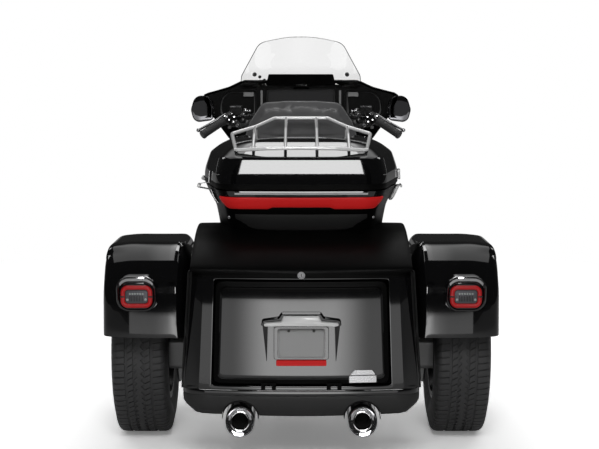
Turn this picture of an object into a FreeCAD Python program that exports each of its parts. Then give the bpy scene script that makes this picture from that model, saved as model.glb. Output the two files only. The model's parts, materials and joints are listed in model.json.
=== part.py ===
"""Touring motor trike: one steered front wheel, two driven rear wheels beside a hollow luggage trunk,
a hollow top case with a side-hinged lid, an air-cooled V-twin and a fork-mounted fairing.

Millimetres. +X is the rider's right, +Y is forward, +Z is up. While it is built, Y is measured from the
rear axle; save() then moves every piece so that the origin lies on the floor under the trike's middle.
"""
import FreeCAD
import Part
import math
import os

V = FreeCAD.Vector

# ---- driving dimensions -------------------------------------------------------------------------
WHEELBASE = 1670.0
REAR_TRACK = 1150.0
BODY_CENTRE_Y = 670.0            # middle of the trike's length, ahead of the rear axle
RAKE_DEG = 26.0
TRAIL = 100.0

REAR_TYRE_R, REAR_TYRE_W, REAR_RIM_R = 324.0, 205.0, 190.5      # 205/65 R15
FRONT_TYRE_R, FRONT_TYRE_W, FRONT_RIM_R = 320.0, 130.0, 203.0   # 130/90 B16
REAR_X = REAR_TRACK / 2
HALF_SHAFT_R = 17.5

GAP = 0.5                        # between neighbouring pieces of one body
SWING_GAP = 5.5                  # round a door or lid

HALF_WIDTH = 695.0               # outside of the rear wings
WING_WALL = 6.0
TRUNK_WALL = 10.0
TRUNK_FLOOR_Z = 300.0
DOOR_THICK = 22.0
DOOR_HINGE_Y, DOOR_HINGE_Z = -604.0, 322.0
CASE_SEAM_Z = 946.0
CASE_WALL = 6.0
LID_HINGE_X, LID_HINGE_Z = -361.0, 948.5
HINGE_Y = (-230.0, 10.0)          # middles of the lid's two hinges
BUTT_HINGE_X = (-110.0, 110.0)    # middles of the door's two hinges
RUN_GAP = 0.05                    # between a pin and its bore

CRANK_Y, CRANK_Z = 1010.0, 320.0
CYLINDER_TILT_DEG = 22.5         # each cylinder leans this far from upright
FRAME_TUBE_R = 19.0
GUARD_TUBE_R = 15.9              # 1.25 inch tube
HANDLEBAR_R = 12.7               # 1 inch tube
MUFFLER_X, MUFFLER_Z = 205.0, 203.0

SIN_RAKE, COS_RAKE = math.sin(math.radians(RAKE_DEG)), math.cos(math.radians(RAKE_DEG))
STEER_FOOT = V(0, WHEELBASE + TRAIL, 0)          # where the steering axis meets the floor
STEER_UP = V(0, -SIN_RAKE, COS_RAKE)
STEER_AHEAD = V(0, COS_RAKE, SIN_RAKE)
FORK_OFFSET = (V(0, WHEELBASE, FRONT_TYRE_R) - STEER_FOOT).dot(STEER_AHEAD)
AXLE_S = (V(0, WHEELBASE, FRONT_TYRE_R) - STEER_FOOT).dot(STEER_UP)
FORK_X = 120.0


# ---- shape helpers ------------------------------------------------------------------------------
def steer(x, s, t):
    """A point x to the side, s up the steering axis from the floor and t ahead of it."""
    return V(x, 0, 0) + STEER_FOOT + STEER_UP * s + STEER_AHEAD * t


def box(x0, x1, y0, y1, z0, z1):
    return Part.makeBox(x1 - x0, y1 - y0, z1 - z0, V(x0, y0, z0))


def rod(start, end, radius):
    """A round bar between two points."""
    return Part.makeCylinder(radius, (end - start).Length, start, end - start)


def mirrored(half):
    """Closes a half outline of (u, v, radius) corners with its mirror image in u."""
    return half + [(-u, v, r) for u, v, r in reversed(half) if u > 0]


def inset(corners, distance):
    """The outline moved inwards by a distance; a negative distance grows it."""
    area = sum(a[0] * b[1] - b[0] * a[1] for a, b in zip(corners, corners[1:] + corners[:1]))
    side = 1 if area > 0 else -1
    moved = []
    for i, (u, v, r) in enumerate(corners):
        before, after = corners[i - 1], corners[(i + 1) % len(corners)]
        d1 = FreeCAD.Base.Vector2d(u - before[0], v - before[1])
        d2 = FreeCAD.Base.Vector2d(after[0] - u, after[1] - v)
        l1, l2 = math.hypot(d1.x, d1.y), math.hypot(d2.x, d2.y)
        n1 = (-d1.y / l1 * side, d1.x / l1 * side)
        n2 = (-d2.y / l2 * side, d2.x / l2 * side)
        scale = distance / (1 + n1[0] * n2[0] + n1[1] * n2[1])
        turn = (d1.x * d2.y - d1.y * d2.x) * side
        radius = r - distance if turn > 0 else r + distance
        moved.append((u + (n1[0] + n2[0]) * scale, v + (n1[1] + n2[1]) * scale, max(radius, 1.0)))
    return moved


def rounded_wire(corners, place):
    """A closed wire of straight runs with a tangent arc at each (u, v, radius) corner."""
    arcs = []
    for i, (u, v, r) in enumerate(corners):
        corner = V(u, v, 0)
        before = (V(corners[i - 1][0], corners[i - 1][1], 0) - corner).normalize()
        after_corner = corners[(i + 1) % len(corners)]
        after = (V(after_corner[0], after_corner[1], 0) - corner).normalize()
        half_angle = before.getAngle(after) / 2
        cut = r / math.tan(half_angle)
        centre = corner + (before + after).normalize() * (r / math.sin(half_angle))
        middle = centre + (corner - centre).normalize() * r
        arcs.append([place(p.x, p.y) for p in (corner + before * cut, middle, corner + after * cut)])
    edges = []
    for (start, middle, end), following in zip(arcs, arcs[1:] + arcs[:1]):
        edges.append(Part.Arc(start, middle, end).toShape())
        if (following[0] - end).Length > 1e-4:
            edges.append(Part.LineSegment(end, following[0]).toShape())
    return Part.Wire(edges)


def rear_prism(corners, y0, y1):
    """An (x, z) outline pushed along Y."""
    return Part.Face(rounded_wire(corners, lambda u, v: V(u, y0, v))).extrude(V(0, y1 - y0, 0))


def side_prism(corners, x0, x1):
    """A (y, z) outline pushed along X."""
    return Part.Face(rounded_wire(corners, lambda u, v: V(x0, u, v))).extrude(V(x1 - x0, 0, 0))


def plan_prism(corners, z0, z1):
    """An (x, y) outline pushed along Z."""
    return Part.Face(rounded_wire(corners, lambda u, v: V(u, v, z0))).extrude(V(0, 0, z1 - z0))


def loft_up(sections):
    """A solid ruled through (z, plan outline) sections."""
    return Part.makeLoft([rounded_wire(c, lambda u, v, z=z: V(u, v, z)) for z, c in sections], True, True)


def loft_along(sections):
    """A solid ruled through (y, rear-view outline) sections."""
    return Part.makeLoft([rounded_wire(c, lambda u, v, y=y: V(u, y, v)) for y, c in sections], True, True)


def ring(corners, centre):
    """An (x, radius) outline turned about the X axis through a centre."""
    wire = rounded_wire(corners, lambda u, v: centre + V(u, 0, v))
    return Part.Face(wire).revolve(centre, V(1, 0, 0), 360)


def pipe(points, radius, bend):
    """A round bar along straight runs joined by tangent arcs."""
    points = [V(*p) for p in points]
    edges, start = [], points[0]
    for before, corner, after in zip(points, points[1:], points[2:]):
        back, ahead = (before - corner).normalize(), (after - corner).normalize()
        half_angle = back.getAngle(ahead) / 2
        cut = bend / math.tan(half_angle)
        centre = corner + (back + ahead).normalize() * (bend / math.sin(half_angle))
        middle = centre + (corner - centre).normalize() * bend
        edges.append(Part.LineSegment(start, corner + back * cut).toShape())
        edges.append(Part.Arc(corner + back * cut, middle, corner + ahead * cut).toShape())
        start = corner + ahead * cut
    edges.append(Part.LineSegment(start, points[-1]).toShape())
    profile = Part.Wire([Part.Circle(points[0], points[1] - points[0], radius).toShape()])
    return Part.Wire(edges).makePipeShell([profile], True, False)


def mirror(shape):
    return shape.mirror(V(0, 0, 0), V(1, 0, 0))


def both(shape):
    """The shape and its mirror image as separate solids of one node."""
    return Part.makeCompound([shape, mirror(shape)])


def joined(shapes):
    """One solid from touching shapes."""
    return shapes[0].fuse(shapes[1:]).removeSplitter()


# ---- wheels -------------------------------------------------------------------------------------
def tyre(centre, outer_r, width, rim_r):
    wall, half, bead = 13.0, width / 2, width * 0.40
    mid_r = rim_r + (outer_r - rim_r) * 0.48
    outside = mirrored([(bead, rim_r + 0.3, 2), (bead, rim_r + 12, 4), (half, mid_r, 34),
                        (half * 0.90, outer_r, 22)])
    cavity = mirrored([(bead - wall, rim_r - 5, 2), (half - wall, mid_r, 30),
                       (half * 0.90 - wall, outer_r - wall, 12)])
    return ring(outside, centre).cut(ring(cavity, centre))


def barrel(centre, width, rim_r):
    """Rim well with a flange at each edge."""
    bead, flange = width * 0.40 + 0.5, 7.0
    under = [(bead + flange, rim_r + 10, 2), (bead + flange, rim_r - 14, 3), (bead - 30, rim_r - 30, 8)]
    over = [(-bead, rim_r + 10, 2), (-bead, rim_r - 0.2, 0.3), (12 - bead, rim_r - 0.2, 4),
            (38 - bead, rim_r - 22, 6)]
    outline = under + [(-u, v, r) for u, v, r in reversed(under)]
    outline += over + [(-u, v, r) for u, v, r in reversed(over)]
    return ring(outline, centre)


def spokes(centre, count, hub_r, rim_r, x0, x1, width):
    arms = []
    for i in range(count):
        arm = box(centre.x + x0, centre.x + x1, centre.y - width / 2, centre.y + width / 2,
                  centre.z + hub_r - 4, centre.z + rim_r - 27)
        arms.append(arm.rotate(centre, V(1, 0, 0), 360 * i / count))
    return arms


def disc(centre, x, radius, thick):
    """Brake disc with its centre at x from the wheel's middle."""
    return Part.makeCylinder(radius, thick, centre + V(x - thick / 2, 0, 0), V(1, 0, 0))


def rear_wheel():
    """Wheel with its disc, and the half shaft that drives it as a second solid."""
    centre = V(REAR_X, 0, REAR_TYRE_R)
    hub = rod(centre + V(-125.5, 0, 0), centre + V(52, 0, 0), 58)
    parts = [barrel(centre, REAR_TYRE_W, REAR_RIM_R), hub, disc(centre, -122, 140, 7)]
    wheel = joined(parts + spokes(centre, 10, 58, REAR_RIM_R, 18, 46, 30))
    shaft = joined([rod(V(290, 0, REAR_TYRE_R), centre + V(-126, 0, 0), HALF_SHAFT_R),
                    rod(centre + V(-139, 0, 0), centre + V(-126, 0, 0), 44)])
    return Part.makeCompound([wheel, shaft])


def front_wheel():
    centre = V(0, WHEELBASE, FRONT_TYRE_R)
    hub = rod(centre + V(-84, 0, 0), centre + V(84, 0, 0), 46)
    discs = [disc(centre, side * 79, 150, 5) for side in (-1, 1)]
    wheel = joined([barrel(centre, FRONT_TYRE_W, FRONT_RIM_R), hub] + discs
                   + spokes(centre, 10, 46, FRONT_RIM_R, -14, 14, 26))
    return wheel.cut(rod(centre + V(-100, 0, 0), centre + V(100, 0, 0), 12.55))


# ---- steered front end --------------------------------------------------------------------------
HEAD_LOW_S, HEAD_TOP_S = 850.0, 985.0
STEM_R = 16.0


def front_fork():
    """Both legs, the two yokes, the stem and the wheel spindle."""
    leg = joined([rod(steer(FORK_X, AXLE_S - 45, FORK_OFFSET), steer(FORK_X, 640, FORK_OFFSET), 29),
                  rod(steer(FORK_X, 635, FORK_OFFSET), steer(FORK_X, 1040, FORK_OFFSET), 24.5)])
    yokes = []
    for low, high in ((805, 842), (993, 1022)):
        yokes.append(rod(steer(0, low, 0), steer(0, high, 0), 36))
        for side in (-1, 1):
            yokes.append(rod(steer(side * FORK_X, low, FORK_OFFSET),
                             steer(side * FORK_X, high, FORK_OFFSET), 34))
        bridge = Part.makeBox(2 * FORK_X, 44, high - low)
        turn = FreeCAD.Rotation(V(1, 0, 0), RAKE_DEG)
        bridge.Placement = FreeCAD.Placement(steer(-FORK_X, low, FORK_OFFSET - 30), turn)
        yokes.append(bridge)
    stem = rod(steer(0, 800, 0), steer(0, 1030, 0), STEM_R)
    spindle = rod(V(-FORK_X, WHEELBASE, FRONT_TYRE_R), V(FORK_X, WHEELBASE, FRONT_TYRE_R), 12.5)
    risers = [rod(steer(side * 45, 1015, 8), steer(side * 45, 1062, 8), 16) for side in (-1, 1)]
    return joined([leg, mirror(leg), stem, spindle] + yokes + risers)


BAR_POINTS = [(0, 1308, 971), (75, 1308, 971), (205, 1262, 1084), (322, 1132, 1086), (425, 1072, 1020)]
GRIP_START, GRIP_END = V(322, 1132, 1086), V(425, 1072, 1020)


def handlebar():
    half = pipe(BAR_POINTS, HANDLEBAR_R, 42)
    return joined([half, mirror(half)])


def hand_controls():
    """Grips, switch housings with their fluid reservoirs, and levers."""
    along = (GRIP_END - GRIP_START).normalize()
    bar = rod(GRIP_START - along * 60, GRIP_END + along * 20, HANDLEBAR_R + GAP)
    grip = rod(GRIP_START + along * 25, GRIP_END + along * 6, 18)
    housing = rod(GRIP_START - along * 12, GRIP_START + along * 26, 26)
    reservoir = box(262, 312, 1128, 1178, 1104, 1134)
    lever = joined([rod(V(300, 1166, 1110), V(362, 1150, 1082), 6),
                    rod(V(360, 1150.5, 1083), V(452, 1112, 1034), 6)])
    knob = Part.makeSphere(8, V(452, 1112, 1034))
    side = joined([grip, housing, reservoir, lever, knob])
    side = side.cut(bar).cut(pipe(BAR_POINTS, HANDLEBAR_R + GAP, 42))
    return both(side)


# rear-view half outlines of the fairing bowl, from its bottom centre round to its top centre
FAIRING_SECTIONS = [
    (1230, [(140, 905, 50), (325, 975, 80), (408, 1085, 60),
            (476, 1182, 20), (330, 1219, 60), (262, 1249, 40)]),
    (1400, [(135, 885, 50), (292, 950, 80), (378, 1058, 70),
            (438, 1168, 20), (318, 1206, 40), (255, 1238, 40)]),
    (1560, [(125, 870, 50), (228, 912, 70), (300, 1008, 70),
            (294, 1112, 50), (206, 1152, 60), (130, 1168, 60)]),
    (1664, [(95, 872, 40), (150, 900, 40), (184, 964, 40), (164, 1030, 40), (118, 1064, 40), (64, 1074, 40)]),
]
FAIRING_WALL = 6.0


def fairing_bowl(depth):
    """The fairing's solid outline, taken in by a depth all over."""
    last = len(FAIRING_SECTIONS) - 1
    return loft_along([(y - (depth if i == last else 0), inset(mirrored(half), depth))
                       for i, (y, half) in enumerate(FAIRING_SECTIONS)])


def behind_rim(extra):
    """Everything behind the fairing's sloping rim, moved ahead by an extra distance."""
    corners = [(1268 + extra, 840, 1), (1392 + extra, 1300, 1), (1000, 1300, 1), (1000, 840, 1)]
    return side_prism(corners, -520, 520)


def outer_fairing():
    neck_room = box(-215, 215, 1150, 1490, 820, 965)
    lamp_hole = rod(V(0, 1600, 965), V(0, 1700, 965), 92)
    return fairing_bowl(0).cut(fairing_bowl(FAIRING_WALL)).cut(behind_rim(0)).cut(neck_room).cut(lamp_hole)


def inner_fairing():
    """Dash panel inside the bowl, open below for the yokes."""
    panel = fairing_bowl(FAIRING_WALL + GAP).cut(behind_rim(26))
    panel = panel.common(behind_rim(40).cut(behind_rim(26)))
    return panel.cut(box(-175, 175, 1150, 1500, 800, 1000))


def windscreen():
    radius, thick, lean = 430.0, 4.5, math.radians(34)
    foot = V(0, 1452, 1215)
    axis_point = foot - V(0, math.cos(lean), math.sin(lean)) * radius
    up = V(0, -math.sin(lean), math.cos(lean))
    start = axis_point - up * 300
    sheet = Part.makeCylinder(radius, 700, start, up).cut(Part.makeCylinder(radius - thick, 700, start, up))
    outline = mirrored([(276, 1185, 10), (270, 1262, 40), (186, 1412, 60), (60, 1438, 500)])
    return sheet.common(rear_prism(outline, 1150, 1500)).cut(fairing_bowl(-1.5))


def mirrors():
    outline = [(384, 1068, 22), (476, 1062, 26), (484, 1168, 30), (392, 1176, 32)]
    head = rear_prism(outline, 1168, 1204)
    stalk = rod(V(440, 1203, 1120), V(410, 1350, 1140), 11)
    return both(joined([head, stalk]).cut(outer_fairing()))


def front_lamps():
    """Headlamp in the fairing's nose and an auxiliary lamp on each side below it."""
    shell = rod(V(0, 1600, 965), V(0, 1672, 965), 90)
    bezel = Part.makeCone(90, 74, 22, V(0, 1672, 965), V(0, 1, 0))
    side_lamp = joined([rod(V(192, 1560, 838), V(192, 1622, 838), 52),
                        rod(V(140, 1590, 838), V(150, 1590, 838), 10)])
    bracket = box(-150, 150, 1570, 1590, 822, 846)
    return Part.makeCompound([joined([shell, bezel]), joined([side_lamp, mirror(side_lamp), bracket])])


def front_mudguard():
    """U-section hoop over the front tyre with its stays."""
    centre = V(0, WHEELBASE, FRONT_TYRE_R)
    inner_r, wall, half = FRONT_TYRE_R + 14, 4.0, FRONT_TYRE_W / 2 + 14
    outline = mirrored([(half + wall, inner_r - 95, 1), (half + wall, inner_r + wall, 34)])
    hollow = mirrored([(half, inner_r - 120, 1), (half, inner_r, 30)])
    solid = ring(outline, centre).cut(ring(hollow, centre))
    keep = side_prism([(WHEELBASE + 420, 330, 1), (WHEELBASE + 420, 800, 1), (WHEELBASE - 420, 800, 1),
                       (WHEELBASE - 420, 190, 1), (WHEELBASE - 150, 260, 1),
                       (WHEELBASE + 150, 400, 1)], -150, 150)
    legs = rod(steer(FORK_X, AXLE_S - 60, FORK_OFFSET), steer(FORK_X, 760, FORK_OFFSET), 29 + GAP)
    return solid.common(keep).cut(legs).cut(mirror(legs))


def front_calipers():
    centre = V(0, WHEELBASE, FRONT_TYRE_R)
    band = rod(centre + V(66, 0, 0), centre + V(100, 0, 0), 188).cut(rod(centre, centre + V(110, 0, 0), 106))
    sector = side_prism([(1640, 332, 6), (1450, 372, 1), (1450, 470, 1), (1560, 520, 1)], 60, 110)
    lug = side_prism([(1540, 392, 6), (1622, 384, 4), (1606, 436, 4), (1540, 446, 6)], 90, 100)
    slot = rod(centre + V(71, 0, 0), centre + V(87, 0, 0), 156)
    leg = rod(steer(FORK_X, AXLE_S - 60, FORK_OFFSET), steer(FORK_X, 760, FORK_OFFSET), 29 + GAP)
    return both(joined([band.common(sector), lug]).cut(slot).cut(leg))


# ---- frame, axle and engine ---------------------------------------------------------------------
BACKBONE_RUN = [(0, 1130, 818), (0, 900, 790), (0, 640, 655), (0, 548, 655)]


def main_frame():
    """Welded tube frame: head, backbone, engine cradle and the rails that carry the rear body."""
    head = rod(steer(0, HEAD_LOW_S, 0), steer(0, HEAD_TOP_S, 0), 30)
    backbone = pipe([steer(0, 930, -20)] + BACKBONE_RUN, 26, 60)
    down = pipe([steer(20, 878, -24), (55, 1335, 700), (120, 1262, 260), (120, 1200, 165), (120, 650, 165),
                 (82, 548, 190), (82, 525, 330), (82, 558, 650)], FRAME_TUBE_R, 45)
    rail = pipe([(116, 548, 652), (170, 480, 600), (262, 160, 600), (262, -118, 600)], FRAME_TUBE_R, 60)
    cross = [rod(V(-x, y, z), V(x, y, z), r)
             for x, y, z, r in ((150, 560, 655, 23), (120, 660, 168, 14),
                                 (126, 1190, 168, 14), (306, 72, 603, 13))]
    pivot = [rod(V(side * 82, 528, 324), V(side * 180, 528, 324), 26) for side in (-1, 1)]
    solid = joined([head, backbone, down, mirror(down), rail, mirror(rail)] + cross + pivot)
    return solid.cut(rod(steer(0, HEAD_LOW_S - 30, 0), steer(0, HEAD_TOP_S + 30, 0), STEM_R + 0.05))


def swingarm():
    """Two arms, the axle tube and the differential, with the caliper brackets."""
    axle = rod(V(-430, 0, REAR_TYRE_R), V(430, 0, REAR_TYRE_R), 42)
    differential = rod(V(-92, 0, REAR_TYRE_R), V(104, 0, REAR_TYRE_R), 108)
    pulley = rod(V(-136, 0, REAR_TYRE_R), V(-104, 0, REAR_TYRE_R), 100)
    pulley_hub = rod(V(-140, 0, REAR_TYRE_R), V(-88, 0, REAR_TYRE_R), 60)
    arm = side_prism([(-45, 286, 10), (470, 300, 10), (566, 306, 12), (566, 344, 12), (470, 352, 10),
                      (-45, 366, 20)], 186, 226)
    cross = box(-188, 188, 300, 340, 306, 344)
    solid = joined([axle, differential, pulley, pulley_hub, arm, mirror(arm), cross])
    belt_room = box(-146, -94, 290, 350, 290, 360)
    bore = rod(V(-440, 0, REAR_TYRE_R), V(440, 0, REAR_TYRE_R), HALF_SHAFT_R + 0.05)
    return solid.cut(bore).cut(belt_room)


def rear_shocks():
    """Coil-over dampers from the axle tube up to eyes on the frame's cross tube."""
    low, high = V(294, 46, 352), V(294, 70, 590)
    along = (high - low).normalize()
    coils = [rod(low + along * (40 + 22 * i), low + along * (52 + 22 * i), 30) for i in range(7)]
    body = [rod(low + along * 6, high - along * 16, 19), rod(low + along * 34, high - along * 34, 24)]
    eye = [rod(high - along * 20, high, 9), rod(V(284, 72, 603), V(304, 72, 603), 22)]
    damper = joined(body + coils + eye).cut(rod(V(200, 72, 603), V(400, 72, 603), 13 + RUN_GAP))
    return both(damper.cut(rod(V(200, 0, REAR_TYRE_R), V(400, 0, REAR_TYRE_R), 42 + GAP)))


def drive_belt():
    """One toothed loop from the gearbox pulley to the differential's, with the front pulley inside it."""
    front, rear = V(-134, 676, 324), V(-134, 0, REAR_TYRE_R)
    front_r, rear_r, thick, width = 46.0, 100.0, 7.0, 28.0

    def loop(grow):
        ends = [Part.makeCylinder(r + grow, width, c, V(1, 0, 0))
                for c, r in ((front, front_r), (rear, rear_r))]
        lean = math.asin((rear_r - front_r) / (front.y - rear.y))
        corners = []
        for c, r, sign in ((front, front_r, 1), (rear, rear_r, 1), (rear, rear_r, -1), (front, front_r, -1)):
            reach = r + grow
            corners.append(V(c.x, c.y + reach * math.sin(lean), c.z + sign * reach * math.cos(lean)))
        web = Part.Face(Part.makePolygon(corners + corners[:1])).extrude(V(width, 0, 0))
        return joined(ends + [web])

    belt = loop(thick).cut(loop(0.4))
    pulley = rod(V(-138, 676, 324), V(-100, 676, 324), front_r)
    return Part.makeCompound([belt, pulley])


def rear_calipers():
    centre = V(REAR_X, 0, REAR_TYRE_R)
    caliper = side_prism([(-172, 268, 16), (-92, 272, 16), (-92, 378, 16), (-172, 384, 20)], 426, 479)
    slot = rod(centre + V(-131, 0, 0), centre + V(-113, 0, 0), 146)
    bracket = box(404, 424, -140, -30, 300, 348)
    hole = rod(V(380, 0, REAR_TYRE_R), V(440, 0, REAR_TYRE_R), 42 + GAP)
    body = joined([caliper.cut(slot), box(420, 430, -140, -96, 300, 348), bracket])
    return both(body.cut(hole))


def cylinder_frame(sign):
    """Foot, axis and placement of a cylinder; sign +1 leans ahead, -1 leans back."""
    tilt = math.radians(CYLINDER_TILT_DEG) * sign
    return FreeCAD.Placement(V(0, CRANK_Y, CRANK_Z), FreeCAD.Rotation(V(1, 0, 0), -math.degrees(tilt)))


def crankcase():
    """Crankcase and gearbox in one casting, with the timing chest on the right."""
    case = side_prism([(880, 200, 30), (1140, 200, 50), (1186, 262, 40), (1186, 400, 40), (1151, 473, 12),
                       (1021, 527, 4), (999, 527, 4), (869, 473, 12), (800, 448, 20), (612, 440, 40),
                       (600, 250, 30)], -90, 90)
    timing = rod(V(88, CRANK_Y, CRANK_Z + 18), V(122, CRANK_Y, CRANK_Z + 18), 108)
    oil_pan = box(-75, 75, 640, 1120, 186, 202)
    return joined([case, timing, oil_pan])


def engine_cylinders():
    """Finned barrel, finned head and rocker box of each cylinder."""
    solids = []
    for sign in (1, -1):
        place = cylinder_frame(sign)
        stack = [Part.makeCylinder(56, 130, V(0, 0, 200 + GAP))]
        for i in range(8):
            fin = plan_prism(mirrored([(72, -66, 24), (72, 66, 24)]), 205 + 14 * i, 210 + 14 * i)
            stack.append(fin)
        stack.append(plan_prism(mirrored([(70, -66, 14), (70, 66, 14)]), 318, 372))
        stack.append(plan_prism(mirrored([(60, -58, 20), (60, 58, 20)]), 372, 410))
        whole = joined(stack)
        whole.Placement = place
        solids.append(whole)
    return Part.makeCompound(solids)


def primary_cover():
    outline = [(600, 190, 60), (1090, 212, 100), (1120, 330, 90), (1060, 442, 90), (640, 470, 120),
               (580, 330, 120)]
    base = side_prism(outline, -150, -90 - GAP)
    crown = side_prism(inset(outline, 14), -172, -150)
    return joined([base, crown]).cut(box(-142, -96, 560, 740, 240, 410))


def air_cleaner():
    bowl = joined([rod(V(110, 1010, 610), V(186, 1010, 610), 92),
                   rod(V(186, 1010, 610), V(196, 1010, 610), 78)])
    neck = rod(V(8, 1010, 610), V(112, 1010, 610), 24)
    gap = engine_cylinders()
    return joined([bowl, neck]).cut(gap)


def exhaust_pipes():
    """Both header pipes, their collector and the crossover to the left silencer."""
    front = pipe([(60, 1196, 620), (92, 1248, 600), (160, 1238, 300), (160, 1180, 216), (160, 470, 216),
                  (MUFFLER_X, 400, MUFFLER_Z), (MUFFLER_X, 300 + GAP, MUFFLER_Z)], 23, 30)
    rear = pipe([(96, 858, 566), (160, 830, 530), (160, 770, 300), (160, 740, 226)], 23, 22)
    cross = pipe([(160, 520, 216), (60, 446, 216), (-150, 446, 216), (-MUFFLER_X, 390, MUFFLER_Z),
                  (-MUFFLER_X, 300 + GAP, MUFFLER_Z)], 23, 26)
    solid = joined([front, rear, cross])
    return solid.cut(engine_cylinders()).cut(crankcase())


def mufflers():
    """Silencer bodies with open tips, on hangers under the trunk floor."""
    tip_r, tip_wall, recess, bore_r = 49.0, 3.0, 24.0, 22.5
    tip_end, tip_start = -665.0, -470.0
    neck = Part.makeCone(46, 25, 28, V(MUFFLER_X, 271, MUFFLER_Z), V(0, 1, 0))
    body = rod(V(MUFFLER_X, 272, MUFFLER_Z), V(MUFFLER_X, tip_start, MUFFLER_Z), 46)
    tip = rod(V(MUFFLER_X, tip_start, MUFFLER_Z), V(MUFFLER_X, tip_end, MUFFLER_Z), tip_r)
    mouth = rod(V(MUFFLER_X, tip_end + recess, MUFFLER_Z), V(MUFFLER_X, tip_end - 1, MUFFLER_Z),
                tip_r - tip_wall)
    bore = rod(V(MUFFLER_X, tip_end + 110, MUFFLER_Z), V(MUFFLER_X, tip_end - 1, MUFFLER_Z), bore_r)
    hangers = [box(MUFFLER_X - 15, MUFFLER_X + 15, y - 4, y + 4, MUFFLER_Z + 30, TRUNK_FLOOR_Z - GAP)
               for y in (-230, -420)]
    return both(joined([body, neck, tip] + hangers).cut(mouth).cut(bore))


def engine_guard():
    """Hoop of bright tube on each side, joined across the down tubes."""
    hoop = pipe([(0, 1360, 640), (150, 1360, 640), (378, 1345, 560), (378, 1345, 350), (330, 1320, 262),
                 (160, 1296, 245), (122, 1280, 245)], GUARD_TUBE_R, 45)
    return joined([hoop, mirror(hoop)]).cut(main_frame())


def footboards():
    """Two pairs of boards, the rider's on straps up from the lower frame tubes."""
    rider = plan_prism([(205, 960, 25), (312, 960, 35), (312, 1240, 45), (205, 1240, 25)], 262, 278)
    straps = [box(184, 230, y - 10, y + 10, 246, 262) for y in (1010, 1160)]
    straps += [box(184, 196, y - 10, y + 10, 150, 250) for y in (1010, 1160)]
    straps += [box(139 + GAP, 190, y - 10, y + 10, 150, 162) for y in (1010, 1160)]
    passenger = plan_prism([(236, 570, 25), (330, 570, 35), (330, 750, 40), (236, 750, 25)], 366, 382)
    arm = box(182, 300, 574, 600, 352, 366)
    return Part.makeCompound([joined([rider] + straps), mirror(joined([rider] + straps)),
                              joined([passenger, arm]), mirror(joined([passenger, arm]))])


def foot_controls():
    """Brake pedal on the right and heel-toe gear lever on the left."""
    brake = joined([pipe([(228, 1108, 287), (238, 1192, 290), (254, 1234, 338)], 8, 30),
                    rod(V(216, 1108, 287), V(240, 1108, 287), 8),
                     rod(V(256, 1230, 334), V(256, 1244, 354), 24)])
    shift = joined([pipe([(-225, 950, 352), (-228, 1090, 318), (-232, 1252, 362)], 7, 60),
                    rod(V(-262, 1252, 362), V(-206, 1252, 362), 12),
                     rod(V(-256, 950, 352), V(-204, 950, 352), 12),
                    rod(V(-226, 1090, 318), V(-174, 1090, 318), 11)])
    return Part.makeCompound([brake, shift])


# ---- tank, seat and covers ----------------------------------------------------------------------
def fuel_tank():
    tank = loft_along([
        (905, mirrored([(52, 775, 20), (92, 800, 30), (84, 866, 34), (36, 884, 40)])),
        (1000, mirrored([(60, 772, 20), (146, 818, 40), (132, 906, 44), (54, 938, 60)])),
        (1130, mirrored([(62, 778, 20), (168, 832, 40), (150, 930, 46), (58, 962, 60)])),
        (1238, mirrored([(58, 792, 20), (118, 836, 34), (104, 906, 34), (44, 928, 40)])),
    ])
    return tank.cut(box(-46, 46, 890, 1260, 760, 862))


def seat():
    side = [(890, 738, 14), (896, 792, 25), (760, 762, 160), (640, 728, 120), (530, 752, 50), (455, 812, 60),
            (178, 822, 40), (172, 700, 25), (420, 684, 30), (640, 674, 30), (764, 690, 30)]
    plan = mirrored([(62, 898, 40), (192, 720, 70), (196, 600, 60),
                     (178, 500, 60), (206, 380, 70), (204, 172, 50)])
    frame = pipe(BACKBONE_RUN[:-1] + [(0, 530, 655)], 26 + GAP, 60)
    cross = rod(V(-200, 560, 655), V(200, 560, 655), 23 + GAP)
    return side_prism(side, -230, 230).common(plan_prism(plan, 600, 900)).cut(frame).cut(cross)


def backrest():
    outline = mirrored([(205, 845, 40), (236, 1080, 60), (176, 1205, 90), (40, 1236, 300)])
    pad = rear_prism(outline, 102, 166)
    lean = side_prism([(102, 830, 1), (166, 830, 20), (158, 1240, 30), (106, 1250, 20)], -260, 260)
    return pad.common(lean)


def side_covers():
    panel = side_prism([(250, 455, 40), (600, 430, 50), (610, 560, 30), (560, 650, 40), (240, 672, 30)],
                       196, 214)
    tab = box(182, 198, 470, 500, 500, 540)
    return both(joined([panel, tab]).cut(main_frame()))


# ---- trunk and wings ----------------------------------------------------------------------------
TRUNK_REAR_VIEW = mirrored([(402, TRUNK_FLOOR_Z, 20), (380, 560, 260), (368, 815, 46)])
TRUNK_SIDE_VIEW = [(-611, TRUNK_FLOOR_Z, 4), (-577, 690, 60), (-470, 756, 120),
                   (-300, 802, 200), (-120, 816, 300),
                   (118, 816, 50), (150, 620, 60), (128, 486, 20), (-126, 486, 6), (-150, TRUNK_FLOOR_Z, 6)]
TRUNK_PLAN = mirrored([(420, 400, 1), (420, -575, 60), (0, -627, 2600)])
TRUNK_LEAN = 34.0 / 390.0         # the rear face leans ahead by this much of its height
DOOR_OUTLINE = mirrored([(297, DOOR_HINGE_Z - 2, 22), (287, 664, 26)])


def trunk_block(depth):
    """The trunk's solid outline, taken in by a depth all over."""
    rear = rear_prism(inset(TRUNK_REAR_VIEW, depth), -640, 200)
    side = side_prism(inset(TRUNK_SIDE_VIEW, depth), -450, 450)
    base, height = TRUNK_FLOOR_Z - 50, 650
    plan = inset([(x, y - 50 * TRUNK_LEAN, r) for x, y, r in TRUNK_PLAN], depth)
    wire = rounded_wire(plan, lambda u, v: V(u, v, base))
    return rear.common(side).common(Part.Face(wire).extrude(V(0, height * TRUNK_LEAN, height)))


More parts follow.
